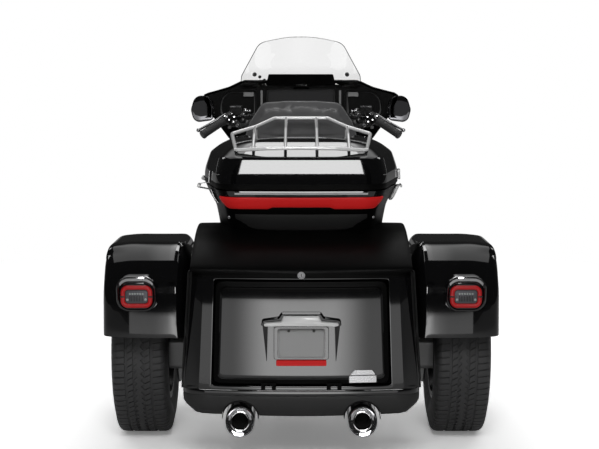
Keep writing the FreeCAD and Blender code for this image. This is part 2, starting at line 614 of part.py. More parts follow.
def butt_rod(x0, x1, radius):
    """A round bar on the door's hinge axis."""
    return rod(V(x0, DOOR_HINGE_Y, DOOR_HINGE_Z), V(x1, DOOR_HINGE_Y, DOOR_HINGE_Z), radius)


def trunk_knuckles(x, grow):
    """The two fixed knuckles of a door hinge, grown all round."""
    return [butt_rod(x + x0 - grow, x + x0 + 14 + grow, 4 + grow) for x0 in (-25, 11)]


def trunk_body():
    """Outer shell with a cargo space behind the axle, an open arch over it and the door's fixed knuckles."""
    cargo = box(-420, 420, -640, -140, 250, 900)
    arch = box(-420, 420, -130, 300, 250, 900)
    inside = trunk_block(TRUNK_WALL)
    shell = trunk_block(0).cut(inside.common(cargo)).cut(inside.common(arch))
    shell = shell.cut(box(-360, 360, -128, 122, 400, 700))
    opening = rear_prism(inset(DOOR_OUTLINE, -SWING_GAP), -700, -540)
    for side in (-1, 1):
        shell = shell.cut(rod(V(side * 262, -130, 600), V(side * 262, 152, 600), FRAME_TUBE_R + GAP))
    shell = shell.cut(opening)
    hinges = []
    for x in BUTT_HINGE_X:
        hinges += trunk_knuckles(x, 0) + [butt_rod(x - 25, x + 25, 2)]
        hinges += [box(x + x0, x + x0 + 14, DOOR_HINGE_Y - 4, DOOR_HINGE_Y + 4, 304, DOOR_HINGE_Z)
                   for x0 in (-25, 11)]
    return joined([shell] + hinges)


def trunk_door():
    """Curved door panel with its two moving knuckles."""
    door = trunk_block(0).common(rear_prism(DOOR_OUTLINE, -700, -500))
    inner = trunk_block(0)
    inner.translate(V(0, DOOR_THICK, 0))
    door = door.cut(inner)
    for x in BUTT_HINGE_X:
        notches = [box(x + x0, x + x0 + 15, -640, DOOR_HINGE_Y + 5, 300, DOOR_HINGE_Z)
                   for x0 in (-25.5, 10.5)]
        for notch in notches + trunk_knuckles(x, GAP):
            door = door.cut(notch)
        door = joined([door, butt_rod(x - 10.5, x + 10.5, 4)]).cut(butt_rod(x - 30, x + 30, 2 + RUN_GAP))
    return door


def plate_bracket():
    """Licence plate surround: lamp hood above, a fin on each side and a reflector below."""
    back = box(-118, 118, -640, -560, 408, 538)
    hood = rear_prism(mirrored([(135, 528, 5), (128, 546, 6), (70, 549, 4), (60, 562, 6)]), -652, -560)
    fin = rear_prism([(104, 534, 2), (130, 534, 2), (118, 405, 1)], -640, -560)
    reflector = rear_prism(mirrored([(86, 384, 4), (86, 404, 4)]), -622, -560)
    plate_seat = box(-104, 104, -700, -622, 408, 528)
    solid = joined([back, hood, fin, mirror(fin), reflector]).cut(plate_seat)
    shadow = trunk_block(-0.3)
    return solid.cut(shadow)


def licence_plate():
    return rear_prism(mirrored([(89, 411, 10), (89, 513, 10)]), -626.5, -624.5)


def rear_valance():
    """Bumper panel under the trunk, arched over both tail pipes."""
    rear = mirrored([(372, 210, 45), (402, 262, 60), (402, TRUNK_FLOOR_Z - GAP, 2)])
    plan = mirrored([(420, 0, 1), (420, -581, 60), (0, -633, 2600)])
    outer = rear_prism(rear, -640, -300).common(plan_prism(plan, 150, 400))
    inner = rear_prism(inset(rear, 6), -640, -280).common(plan_prism(inset(plan, 6), 100, 400))
    inner = inner.fuse([box(-390, 390, -600, -280, 240, 400)]).common(plan_prism(inset(plan, 6), 100, 400))
    solid = outer.cut(inner)
    for side in (-1, 1):
        arch = rod(V(side * MUFFLER_X, -700, MUFFLER_Z), V(side * MUFFLER_X, -280, MUFFLER_Z), 58)
        slot = box(side * MUFFLER_X - 58, side * MUFFLER_X + 58, -700, -280, 150, MUFFLER_Z)
        solid = solid.cut(arch).cut(slot)
    return solid


WING_REAR_VIEW = [(HALF_WIDTH, 180, 1), (HALF_WIDTH - 2, 610, 300), (676, 742, 72), (452, 752, 60),
                  (386, 688, 16), (352, 676, 1), (352, 180, 1)]
WING_SIDE_VIEW = [(-454, 445, 3), (-437, 610, 150), (-330, 752, 190), (50, 756, 260), (330, 664, 220),
                  (470, 420, 120), (462, 262, 30), (380, 262, 4)]
WHEEL_OPENING_R = 352.0


def wing_block(depth):
    rear = rear_prism(inset(WING_REAR_VIEW, depth), -520, 560)
    return rear.common(side_prism(inset(WING_SIDE_VIEW, depth), 300, 760))


def rear_wing():
    """Right wing: crowned top and outer skirt round the wheel opening, open towards the trunk."""
    inside = wing_block(WING_WALL).fuse([wing_block(WING_WALL).translate(V(-60, 0, 0))])
    lowered = wing_block(WING_WALL).translate(V(0, 0, -60))
    inside = inside.fuse([lowered.common(box(340, 760, -600, 600, 100, 520))])
    wheel = rod(V(440, 0, REAR_TYRE_R + 8), V(760, 0, REAR_TYRE_R + 8), WHEEL_OPENING_R)
    below = side_prism([(-600, 100, 1), (600, 100, 1), (600, 262, 1), (380, 262, 1), (0, 420, 1),
                        (-360, 444, 1),
                        (-600, 448, 1)], 300, 760)
    return wing_block(0).cut(inside).cut(wheel).cut(below).cut(trunk_block(-GAP))


def rear_lamps():
    """A lamp on each wing and the red band let into the rear of the top case under its seam."""
    outline = [(494, 540, 38), (630, 540, 38), (630, 668, 40), (494, 668, 40)]
    base = rear_prism(outline, -474, -400)
    lens = rear_prism(inset(outline, 7), -486, -470)
    wing_lamp = joined([base, lens]).cut(wing_block(-GAP))
    band = rear_prism(mirrored([(236, 878, 18), (282, 926, 8)]), -460, -250)
    band = case_block(CASE_SECTIONS, -9, (0, 0, 0)).common(band)
    band = band.cut(case_block(CASE_SECTIONS, -GAP, (0, 0, 0)))
    return Part.makeCompound([wing_lamp, mirror(wing_lamp), band])


# ---- top case -----------------------------------------------------------------------------------
def case_plan(half_width, rear_y, front_y):
    """Plan outline of the top case: bowed sides, drawn-in rear corners and a bowed rear edge."""
    return mirrored([(half_width * 0.90, front_y, 50), (half_width, -110, 260),
                     (half_width * 0.80, rear_y + 10, 70),
                     (0, rear_y, 3000)])


# height, half width, rear edge, front edge
CASE_SECTIONS = [(770, 262, -300, 60), (868, 282, -366, 80), (CASE_SEAM_Z, 350, -392, 92)]
LID_SECTIONS = [(951, 358, -398, 96), (1056, 344, -374, 90), (1100, 262, -282, 56)]


def case_block(sections, depth, lift):
    """The case's or lid's outline taken in by a depth, each section raised by its lift."""
    return loft_up([(z + lift[i], inset(case_plan(half, rear, front), depth))
                    for i, (z, half, rear, front) in enumerate(sections)])


def top_case():
    outer = case_block(CASE_SECTIONS, 0, (0, 0, 0))
    inner = case_block(CASE_SECTIONS, CASE_WALL, (0, 0, 20))
    inner = inner.common(box(-400, 400, -450, 150, 824, 1000))
    stays = [rod(V(x, 60, 880), V(x, 102 - GAP, 880), 14) for x in (-120, 120)]
    return joined([outer] + stays).cut(inner).cut(trunk_block(-GAP))


def case_lid():
    outer = case_block(LID_SECTIONS, 0, (0, 0, 0))
    inner = case_block(LID_SECTIONS, CASE_WALL, (-20, 0, -CASE_WALL))
    return outer.cut(inner)


def on_shell(blocks, sections):
    """The blocks cut to stand on the case's or lid's outside."""
    shell = case_block(sections, -GAP, (0, 0, 0))
    return [max(block.cut(shell).Solids, key=lambda s: s.Volume) for block in blocks]


def hinge_rod(y0, y1, radius):
    """A round bar on the lid's hinge axis."""
    return rod(V(LID_HINGE_X, y0, LID_HINGE_Z), V(LID_HINGE_X, y1, LID_HINGE_Z), radius)


def case_hardware():
    """Hinge leaves with their pins on the left side of the case and a bright pull latch on its right."""
    leaves = []
    for y in HINGE_Y:
        leaf = box(LID_HINGE_X - 4, -290, y - 22, y + 22, 880, 936)
        ears = [box(LID_HINGE_X - 4, LID_HINGE_X + 4, y0, y0 + 10, 930, LID_HINGE_Z)
                for y0 in (y - 22, y + 12)]
        knuckles = [hinge_rod(y0, y0 + 10, 6) for y0 in (y - 22, y + 12)]
        leaves.append(joined([leaf, hinge_rod(y - 22, y + 22, 2.5)] + ears + knuckles))
    leaves.append(side_prism([(-160, 880, 14), (-60, 880, 14), (-60, 938, 10), (-160, 938, 10)], 290, 372))
    return Part.makeCompound(on_shell(leaves, CASE_SECTIONS))


def lid_fittings():
    """The lid's half of each hinge and the catch over the latch."""
    fittings = []
    for y in HINGE_Y:
        leaf = box(LID_HINGE_X - 4, -290, y - 11.5, y + 11.5, LID_HINGE_Z + 3, 1002)
        leaf = joined([leaf, hinge_rod(y - 11.5, y + 11.5, 6)])
        fittings.append(leaf.cut(hinge_rod(y - 30, y + 30, 2.5 + RUN_GAP)))
    fittings.append(side_prism([(-146, 956, 6), (-74, 956, 6), (-74, 996, 12), (-146, 996, 12)], 290, 366))
    return Part.makeCompound(on_shell(fittings, LID_SECTIONS))


RACK_BAR_R = 6.5


def luggage_rack():
    """Bright tube rack: one closed rail, four lengthwise bars and four feet on the lid."""
    rear_half = [(0, -352, 1092), (120, -350, 1090), (226, -332, 1082), (248, -128, 1122), (166, -64, 1142),
                 (98, 36, 1166), (0, 36, 1166)]
    rail = pipe(rear_half, RACK_BAR_R, 18)
    bars = [pipe([(x, y1, z1), (x, (y1 + y0) / 2, z_mid), (x, y0, z0)], 5.5, 120)
            for x, y0, z0, y1, z1, z_mid in ((166, -343, 1087, -64, 1142, 1126),
                                             (55, -352, 1091, 36, 1166, 1142))]
    feet = [rod(V(x, y, 1040), V(x, y, z), 8) for x, y, z in ((166, -300, 1094), (166, -90, 1134))]
    half = joined([rail] + bars + feet)
    lid = case_block(LID_SECTIONS, -GAP, (0, 0, 0))
    whole = joined([half, mirror(half)]).cut(lid)
    return max(whole.Solids, key=lambda s: s.Volume)


# ---- writing the pieces -------------------------------------------------------------------------
def pieces():
    """Node name to shape, each still measured from the rear axle."""
    right_wheel = rear_wheel()
    right_tyre = tyre(V(REAR_X, 0, REAR_TYRE_R), REAR_TYRE_R, REAR_TYRE_W, REAR_RIM_R)
    return {
        "main_frame": main_frame(), "swingarm": swingarm(), "rear_shocks": rear_shocks(),
        "drive_belt": drive_belt(), "rear_calipers": rear_calipers(), "crankcase": crankcase(),
        "engine_cylinders": engine_cylinders(),
        "engine_covers": Part.makeCompound([primary_cover(), air_cleaner()]),
        "exhaust_pipes": exhaust_pipes(), "mufflers": mufflers(), "engine_guard": engine_guard(),
        "footboards": footboards(), "foot_controls": foot_controls(), "fuel_tank": fuel_tank(),
        "seat": seat(), "backrest": backrest(), "side_covers": side_covers(),
        "trunk_body": trunk_body(), "rear_valance": rear_valance(), "rear_wings": both(rear_wing()),
        "rear_lamps": rear_lamps(), "top_case": top_case(), "case_hardware": case_hardware(),
        "trunk_door": trunk_door(), "plate_bracket": plate_bracket(), "licence_plate": licence_plate(),
        "case_lid": case_lid(), "luggage_rack": luggage_rack(), "lid_fittings": lid_fittings(),
        "front_fork": front_fork(), "handlebar": handlebar(), "hand_controls": hand_controls(),
        "outer_fairing": outer_fairing(), "inner_fairing": inner_fairing(), "windscreen": windscreen(),
        "mirrors": mirrors(), "front_lamps": front_lamps(), "front_mudguard": front_mudguard(),
        "front_calipers": front_calipers(),
        "front_wheel": front_wheel(),
        "front_tyre": tyre(V(0, WHEELBASE, FRONT_TYRE_R), FRONT_TYRE_R, FRONT_TYRE_W, FRONT_RIM_R),
        "right_rear_wheel": right_wheel, "left_rear_wheel": mirror(right_wheel),
        "right_rear_tyre": right_tyre, "left_rear_tyre": mirror(right_tyre),
    }


def save(name, shape):
    shape.translate(V(0, -BODY_CENTRE_Y, 0))
    shape.exportStep(os.path.join("parts", name + ".step"))
    sound = "ok" if shape.isValid() else "NOT VALID"
    print(f"{name:22s} solids {len(shape.Solids)}  litres {shape.Volume / 1e6:8.2f}  {sound}")


os.makedirs("parts", exist_ok=True)
for piece_name, piece_shape in pieces().items():
    save(piece_name, piece_shape)
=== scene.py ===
import json
import math
import bpy
import bmesh
from mathutils import Matrix, Vector


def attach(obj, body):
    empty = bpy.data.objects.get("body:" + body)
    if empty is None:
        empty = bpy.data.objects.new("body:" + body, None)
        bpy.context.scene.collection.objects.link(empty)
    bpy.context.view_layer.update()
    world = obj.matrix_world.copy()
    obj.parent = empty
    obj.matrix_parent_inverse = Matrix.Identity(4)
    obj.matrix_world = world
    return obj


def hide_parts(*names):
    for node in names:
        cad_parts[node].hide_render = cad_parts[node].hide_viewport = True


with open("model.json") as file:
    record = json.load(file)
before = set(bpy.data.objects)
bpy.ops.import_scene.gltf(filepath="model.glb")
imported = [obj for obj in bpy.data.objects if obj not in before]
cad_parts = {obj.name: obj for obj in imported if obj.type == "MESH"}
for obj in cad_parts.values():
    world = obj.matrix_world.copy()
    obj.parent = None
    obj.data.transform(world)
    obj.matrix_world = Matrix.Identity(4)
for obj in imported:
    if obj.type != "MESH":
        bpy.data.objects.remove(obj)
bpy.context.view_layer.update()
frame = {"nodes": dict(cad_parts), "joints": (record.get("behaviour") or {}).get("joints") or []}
joint_place = {joint["name"]: joint["pos_m"] for joint in frame["joints"] if "pos_m" in joint}

# ---- studio -------------------------------------------------------------------------------------
# A pale floor runs on into a white surround, with a square softbox ahead at each side and a wide one in
# the middle. Glowing cards that the camera doesn't see, low, high and overhead, draw the grey bands on
# the black panels, and two small black flags keep one off the wings.
scene = bpy.context.scene
scene.view_settings.view_transform = "Standard"

camera_data = bpy.data.cameras.new("camera")
camera_data.lens = 91.95
camera_data.sensor_width = 36.0
camera_dip = 8.179
camera = bpy.data.objects.new("camera", camera_data)
scene.collection.objects.link(camera)
camera.location = (-0.006, -6.269, 1.580)
camera.rotation_euler = (math.radians(90 - camera_dip), 0, 0)
scene.camera = camera


def node_tree(owner):
    """The owner's emptied node tree, and a function that adds a node with its settings and inputs."""
    owner.use_nodes = True
    tree = owner.node_tree
    tree.nodes.clear()

    def add(kind, inputs=(), **settings):
        node = tree.nodes.new(kind)
        for key, value in settings.items():
            setattr(node, key, value)
        for key, value in dict(inputs).items():
            if isinstance(value, bpy.types.NodeSocket):
                tree.links.new(value, node.inputs[key])
            else:
                node.inputs[key].default_value = value
        return node

    return tree, add


def softbox(name, size_x, size_y, place, target, radiance):
    """An area lamp of one radiance, aimed at a target."""
    lamp = bpy.data.lights.new(name, "AREA")
    lamp.shape = "RECTANGLE"
    lamp.size, lamp.size_y = size_x, size_y
    lamp.energy = radiance * math.pi * size_x * size_y
    holder = bpy.data.objects.new(name, lamp)
    holder.location = place
    holder.rotation_euler = (Vector(target) - Vector(place)).to_track_quat("-Z", "Y").to_euler()
    scene.collection.objects.link(holder)
    return holder


for side in (-1, 1):
    softbox("side_softbox", 1.8, 1.8, (side * 4.2, 2.6, 3.9), (0, 0.1, 0.5), 2.2)
softbox("front_softbox", 3.0, 1.0, (0, 5.4, 4.4), (0, 0.6, 0.6), 2.0).visible_glossy = False


def light_card(name, corners, place, steps):
    """A one-sided glowing card; each step is (axis, start, end, first, last), all multiplied together."""
    mesh = bpy.data.meshes.new(name)
    mesh.from_pydata(corners, [], [(0, 1, 2, 3)])
    holder = bpy.data.objects.new(name, mesh)
    holder.location = place
    scene.collection.objects.link(holder)
    glow = bpy.data.materials.new(name + "_glow")
    tree, add = node_tree(glow)
    spot = add("ShaderNodeSeparateXYZ", {0: add("ShaderNodeTexCoord").outputs["Object"]})
    power = None
    for letter, start, end, first, last in steps:
        reach = add("ShaderNodeMath", {0: spot.outputs[letter]}, operation="ABSOLUTE")
        ramp = add("ShaderNodeMapRange", {"Value": reach.outputs[0], "From Min": start, "From Max": end,
                                          "To Min": first, "To Max": last}, interpolation_type="SMOOTHSTEP")
        if power is None:
            power = ramp
        else:
            power = add("ShaderNodeMath", {0: power.outputs[0], 1: ramp.outputs[0]}, operation="MULTIPLY")
    shine = add("ShaderNodeEmission", {"Color": (1, 1, 1, 1), "Strength": power.outputs[0]})
    facing = add("ShaderNodeNewGeometry").outputs["Backfacing"]
    dark = add("ShaderNodeEmission", {"Color": (0, 0, 0, 1), "Strength": 0.0})
    one_sided = add("ShaderNodeMixShader", {"Fac": facing, 1: shine.outputs[0], 2: dark.outputs[0]})
    add("ShaderNodeOutputMaterial", {"Surface": one_sided.outputs[0]})
    mesh.materials.append(glow)
    holder.visible_camera = False
    return holder


wide, foot, top = 2.05, -0.02, 0.57
light_card("low_card", [(wide, 0, foot), (-wide, 0, foot), (-wide, 0, top), (wide, 0, top)], (0, -5.25, 0),
           [("X", 0.45, 1.15, 3.3, 0.8), ("Z", 0.52, 0.565, 1.0, 0.0)])
wide, top = 1.12, 2.4
light_card("lid_card", [(wide, 0, 0), (-wide, 0, 0), (-wide, 0, top), (wide, 0, top)], (0, -6.4, 3.02),
           [("X", 0.95, 1.12, 9.0, 4.0)])
wide, near, far = 0.49, 0.9, 3.5
light_card("crown_card", [(wide, near, 0), (-wide, near, 0), (-wide, far, 0), (wide, far, 0)], (0, 0, 4.2),
           [("Y", 0.9, 3.4, 4.0, 2.0)])
for side in (-1, 1):
    near, far = sorted((side * 0.50, side * 2.6))
    light_card("overhead_card", [(near, 0, 0), (near, 6.2, 0), (far, 6.2, 0), (far, 0, 0)], (0, -1.15, 4.2),
               [("X", 0.7, 1.05, 1.4, 0.6), ("Y", 3.6, 6.0, 1.0, 0.12)])
    flag = light_card("black_flag", [(-0.1, 0, 0), (0.1, 0, 0), (0.1, 0, 0.6), (-0.1, 0, 0.6)],
                      (side * 0.435, -1.6, 0.76), [("X", 0, 1, 0, 0)])
    flag.visible_diffuse = flag.visible_shadow = flag.visible_transmission = False


def seen_directly(add):
    """The light path, and a node that is 1 for what the camera sees straight or through glass."""
    path = add("ShaderNodeLightPath")
    return path, add("ShaderNodeMath", {0: path.outputs["Is Camera Ray"],
                                        1: path.outputs["Is Transmission Ray"]}, operation="MAXIMUM")


world = bpy.data.worlds.new("white_surround")
scene.world = world
tree, add = node_tree(world)
path, seen = seen_directly(add)
soft = add("ShaderNodeMath", {0: path.outputs["Is Diffuse Ray"], 1: 0.19, 2: 0.02}, operation="MULTIPLY_ADD")
level = add("ShaderNodeMath", {0: seen.outputs[0], 1: soft.outputs[0]}, operation="MAXIMUM")
glow = add("ShaderNodeBackground", {"Color": (1, 1, 1, 1), "Strength": level.outputs[0]})
add("ShaderNodeOutputWorld", {"Surface": glow.outputs[0]})

floor_mesh = bpy.data.meshes.new("floor")
floor_form = bmesh.new()
bmesh.ops.create_circle(floor_form, cap_ends=True, segments=96, radius=60)
floor_form.to_mesh(floor_mesh)
floor_form.free()
floor = bpy.data.objects.new("floor", floor_mesh)
scene.collection.objects.link(floor)
floor_paint = bpy.data.materials.new("floor_paint")
tree, add = node_tree(floor_paint)
place = add("ShaderNodeTexCoord")
reach = add("ShaderNodeVectorMath", {0: place.outputs["Object"]}, operation="LENGTH")
fade = add("ShaderNodeMapRange", {"Value": reach.outputs["Value"], "From Min": 1.9, "From Max": 3.6},
           interpolation_type="SMOOTHSTEP")
path, seen = seen_directly(add)
white_share = add("ShaderNodeMath", {0: fade.outputs[0], 1: seen.outputs[0]}, operation="MULTIPLY")
tone = add("ShaderNodeMath", {0: seen.outputs[0], 1: 1.35, 2: 0.6}, operation="MULTIPLY_ADD")
matt = add("ShaderNodeBsdfDiffuse", {"Color": tone.outputs[0], "Roughness": 0.0})
lift = add("ShaderNodeMath", {0: seen.outputs[0], 1: 0.15}, operation="MULTIPLY")
pale = add("ShaderNodeEmission", {"Color": (1, 1, 1, 1), "Strength": lift.outputs[0]})
near = add("ShaderNodeAddShader", {0: matt.outputs[0], 1: pale.outputs[0]})
far = add("ShaderNodeEmission", {"Color": (1, 1, 1, 1), "Strength": 1.0})
mixed = add("ShaderNodeMixShader", {"Fac": white_share.outputs[0], 1: near.outputs[0], 2: far.outputs[0]})
add("ShaderNodeOutputMaterial", {"Surface": mixed.outputs[0]})
floor_mesh.materials.append(floor_paint)

# ---- black paint on the welded frame ------------------------------------------------------------
# The cradle, backbone and rear rails are welded steel tube in satin black powder coat. The coat has
# a fine orange-peel skin and is a little duller where it lies thin.


def finish_of(name, color, roughness, metallic=0.0, grain=0.0, grain_size=300.0, cloud=0.0, cloud_size=9.0,
              shift=0.0, coat=0.0, coat_roughness=0.03, ior=1.5, detail=2.0, **sockets):
    """A procedural finish: grain is its bump, cloud the spread of its roughness, shift that of its colour."""
    material = bpy.data.materials.new(name)
    tree, add = node_tree(material)
    place = add("ShaderNodeTexCoord").outputs["Object"]
    soft = add("ShaderNodeTexNoise", {"Vector": place, "Scale": cloud_size, "Detail": 3.0}).outputs["Fac"]
    fine = add("ShaderNodeTexNoise", {"Vector": place, "Scale": grain_size, "Detail": detail}).outputs["Fac"]
    rough = add("ShaderNodeMapRange", {"Value": soft, "From Min": 0.3, "From Max": 0.7,
                                       "To Min": max(roughness - cloud, 0.0), "To Max": roughness + cloud})
    dark = [channel * (1 - shift) for channel in color]
    light = [min(channel * (1 + shift), 1.0) for channel in color]
    tint = add("ShaderNodeMix", {"Factor": fine, 6: (*dark, 1), 7: (*light, 1)}, data_type="RGBA")
    bump = add("ShaderNodeBump", {"Height": fine, "Strength": grain, "Distance": 0.0006})
    surface = add("ShaderNodeBsdfPrincipled", {
        "Base Color": tint.outputs[2], "Roughness": rough.outputs[0], "Metallic": metallic, "IOR": ior,
        "Coat Weight": coat, "Coat Roughness": coat_roughness, "Normal": bump.outputs[0]})
    for key, value in sockets.items():
        surface.inputs[key.replace("_", " ")].default_value = value
    add("ShaderNodeOutputMaterial", {"Surface": surface.outputs[0]})
    return material


def wear(material, *nodes):
    """Gives nodes of the frame their finish."""
    for node in nodes:
        slots = frame["nodes"][node].data.materials
        slots.clear()
        slots.append(material)


powder_coat = finish_of("powder_coat", (0.012, 0.012, 0.013), 0.34, grain=0.10, grain_size=700, cloud=0.06,
                        shift=0.2)
wear(powder_coat, "main_frame", "swingarm")

# ---- rear wings ---------------------------------------------------------------------------------
# Each wing is one deep composite moulding, 6 mm thick, in gloss black: a flat crown with a rounded
# shoulder, an upright rear face and a skirt round the wheel opening. It bolts to the trunk's side.
axle_y = joint_place["right_rear_wheel_spin"][1]
rear_axle_z = joint_place["right_rear_wheel_spin"][2] * 1000


def at(x, y, z):
    """A place in millimetres from the floor under the rear axle's middle, in the frame's metres."""
    return Vector((x / 1000, y / 1000 + axle_y, z / 1000))


def outline(corners, steps=6):
    """Points along (u, v, radius) corners of a closed outline, each corner an arc of equal steps."""
    points = []
    for i, (u, v, radius) in enumerate(corners):
        corner = Vector((u, v))
        back = (Vector(corners[i - 1][:2]) - corner).normalized()
        ahead = (Vector(corners[(i + 1) % len(corners)][:2]) - corner).normalized()
        half = back.angle(ahead) / 2
        centre = corner + (back + ahead).normalized() * (radius / math.sin(half))
        arm = corner + back * (radius / math.tan(half)) - centre
        sweep = (math.pi - 2 * half) * (1 if back.x * ahead.y - back.y * ahead.x < 0 else -1)
        for k in range(steps + 1):
            turned = arm.copy()
            turned.rotate(Matrix.Rotation(sweep * k / steps, 2))
            points.append(centre + turned)
    return points


def mirrored(half):
    """A half outline of (u, v, radius) corners closed with its mirror image in u."""
    return half + [(-u, v, radius) for u, v, radius in reversed(half)]


def flow(rows, steps):
    """Rows of points with smooth rows added between each pair."""
    smooth = []
    for i in range(len(rows) - 1):
        a, b, c, d = rows[max(i - 1, 0)], rows[i], rows[i + 1], rows[min(i + 2, len(rows) - 1)]
        for k in range(steps):
            t = k / steps
            smooth.append([0.5 * (2 * q + (r - p) * t + (2 * p - 5 * q + 4 * r - s) * t * t
                                  + (3 * q - p - 3 * r + s) * t ** 3) for p, q, r, s in zip(a, b, c, d)])
    return smooth + [rows[-1]]


def skin(rows, closed=False, first_cap=False, last_cap=False):
    """Points and faces of a surface through rows of points, each row a loop when closed."""
    width = len(rows[0])
    points = [point for row in rows for point in row]
    faces = []
    for i in range(len(rows) - 1):
        for k in range(width if closed else width - 1):
            n = (k + 1) % width
            faces.append((i * width + k, i * width + n, (i + 1) * width + n, (i + 1) * width + k))
    if first_cap:
        faces.append(tuple(range(width)))
    if last_cap:
        faces.append(tuple(range((len(rows) - 1) * width, len(rows) * width)))
    return points, faces


def solid(rows):
    """Points and faces of a closed shape through loops of points, both ends capped."""
    return skin(rows, closed=True, first_cap=True, last_cap=True)


def build(name, parts, finishes, crease=35, wall=0.0, wall_finish=0, round_edges=0.0, subdivide=0):
    """One mesh object from (points and faces, finish number) parts in frame millimetres, all in place."""
    form = bmesh.new()
    for (points, faces), number in parts:
        corners = [form.verts.new(at(*point)) for point in points]
        for face in faces:
            around = [corners[i] for i in dict.fromkeys(face)]
            if len(around) > 2:
                form.faces.new(around).material_index = number
    bmesh.ops.remove_doubles(form, verts=form.verts, dist=0.00002)
    bmesh.ops.dissolve_degenerate(form, edges=form.edges, dist=0.00001)
    bmesh.ops.recalc_face_normals(form, faces=form.faces)
    mesh = bpy.data.meshes.new(name)
    form.to_mesh(mesh)
    form.free()
    for finish in finishes:
        mesh.materials.append(finish)
    made = bpy.data.objects.new(name, mesh)
    scene.collection.objects.link(made)
    if subdivide:
        made.modifiers.new("smooth", "SUBSURF").levels = subdivide
    if wall:
        thick = made.modifiers.new("wall", "SOLIDIFY")
        thick.thickness, thick.offset, thick.use_even_offset = wall / 1000, -1, True
        thick.material_offset = wall_finish
    if round_edges:
        edge = made.modifiers.new("edge", "BEVEL")
        edge.width, edge.segments, edge.limit_method, edge.angle_limit = round_edges / 1000, 2, "ANGLE", 0.6
        edge.use_clamp_overlap = True
    settle(made, crease)
    if round_edges:
        made.modifiers.new("normals", "WEIGHTED_NORMAL").keep_sharp = True
        bake(made)
    return made


def bake(made):
    """Turns a piece and its modifiers into a plain mesh."""
    plain = bpy.data.meshes.new_from_object(made.evaluated_get(bpy.context.evaluated_depsgraph_get()))
    made.modifiers.clear()
    plain.name = made.data.name
    made.data = plain


def settle(made, crease):
    """Bakes a piece and shades it smooth, sharp only where its faces turn by more than the crease."""
    if made.modifiers:
        bake(made)
    made.data.shade_smooth()
    made.data.set_sharp_from_angle(angle=math.radians(crease))


def thicken(made, wall, crease, offset=-1, inner_finish=0):
    """Gives a sheet its wall in millimetres, the inner face with its own finish, and bakes it."""
    thick = made.modifiers.new("wall", "SOLIDIFY")
    thick.thickness, thick.offset, thick.material_offset = wall / 1000, offset, inner_finish
    settle(made, crease)


paint_black = finish_of("paint_black", (0.003, 0.003, 0.0034), 0.07, grain=0.003, grain_size=1100,
                        cloud=0.015, shift=0.25, coat=1.0, coat_roughness=0.012)
moulded_inside = finish_of("moulded_inside", (0.012, 0.012, 0.012), 0.6, grain=0.2, grain_size=500, shift=0.3)

wing_profile = [(-454, 445, 6), (-437, 610, 150), (-330, 753, 190), (50, 736, 260), (332, 650, 230),
                (470, 420, 160), (462, 262, 8)]
wing_columns = [(388, 74), (393, 54), (400, 33), (410, 15), (422, 4), (436, 0), (476, 0), (540, 0), (596, 0),
                (636, 3), (666, 8), (681, 20), (687, 44)]
wing_side = [(687, 0.2), (688, 0.5), (688.3, 0.82), (688.3, 0.97), (686, 1.0), (678, 1.0)]
opening_r, opening_z = 352.0, rear_axle_z + 8
wheel_arch_start, wheel_arch_end = math.radians(161.5), math.radians(-11.5)

rim_line = [Vector((0, point.x, point.y)) for point in outline(wing_profile, 12)[6:-6]]
shoulder_x, wing_stations = 460, 64
rear_bend_y, bend_start, bend_width, bend_depth = -300, 472, 223, 20


def spread(line, shares):
    """The points of a line at given shares of its length."""
    lengths = [0.0]
    for before, after in zip(line, line[1:]):
        lengths.append(lengths[-1] + (after - before).length)
    found = []
    for share in shares:
        goal = lengths[-1] * share
        i = next((i for i in range(len(line) - 1) if lengths[i + 1] >= goal), None)
        if i is None:
            found.append(line[-1].copy())
        else:
            found.append(line[i].lerp(line[i + 1],
                                      (goal - lengths[i]) / max(lengths[i + 1] - lengths[i], 1e-6)))
    return found


def wing_rows(side):
    """Lines of points along one wing, from its inner edge over the crown and down to the wheel opening."""
    rows = []
    for s in range(wing_stations + 1):
        share = s / wing_stations
        before, rim, after = spread(rim_line, (max(share - 0.01, 0), share, min(share + 0.01, 1)))
        ahead = after - before
        inward = Vector((0, -ahead.z, ahead.y)).normalized()
        if inward.dot(Vector((0, 0, opening_z)) - rim) < 0:
            inward = -inward
        polar = math.atan2(rim.z - opening_z, rim.y)
        first = math.atan2(rim_line[0].z - opening_z, rim_line[0].y)
        last = math.atan2(rim_line[-1].z - opening_z, rim_line[-1].y)
        turn = wheel_arch_start + (wheel_arch_end - wheel_arch_start) * (polar - first) / (last - first)
        mouth = Vector((0, math.cos(turn) * opening_r, opening_z + math.sin(turn) * opening_r))
        row = []
        fade = min(1.0, share / 0.04, (1 - share) / 0.04)
        for x, depth in wing_columns:
            row.append(Vector((x, 0, 0)) + rim + inward * depth * (0.25 + 0.75 * fade if x < shoulder_x
                                                                   else 1))
        shoulder = rim + inward * wing_columns[-1][1]
        for x, part in wing_side:
            row.append(Vector((x, 0, 0)) + shoulder.lerp(mouth, part))
        for point in row:
            if point.y < rear_bend_y:
                point.y += (max(point.x - bend_start, 0) / bend_width) ** 2 * bend_depth
            point.x *= side
        rows.append(row)
    return [[row[k] for row in rows] for k in range(len(rows[0]))]


for side, name in ((-1, "left_wing"), (1, "right_wing")):
    wing = build(name, [(skin(flow(wing_rows(side), 3)), 0)], [paint_black, moulded_inside], crease=50)
    thicken(wing, 6, 50, inner_finish=1)
    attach(wing, "chassis")
    if side > 0:
        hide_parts("rear_wings")

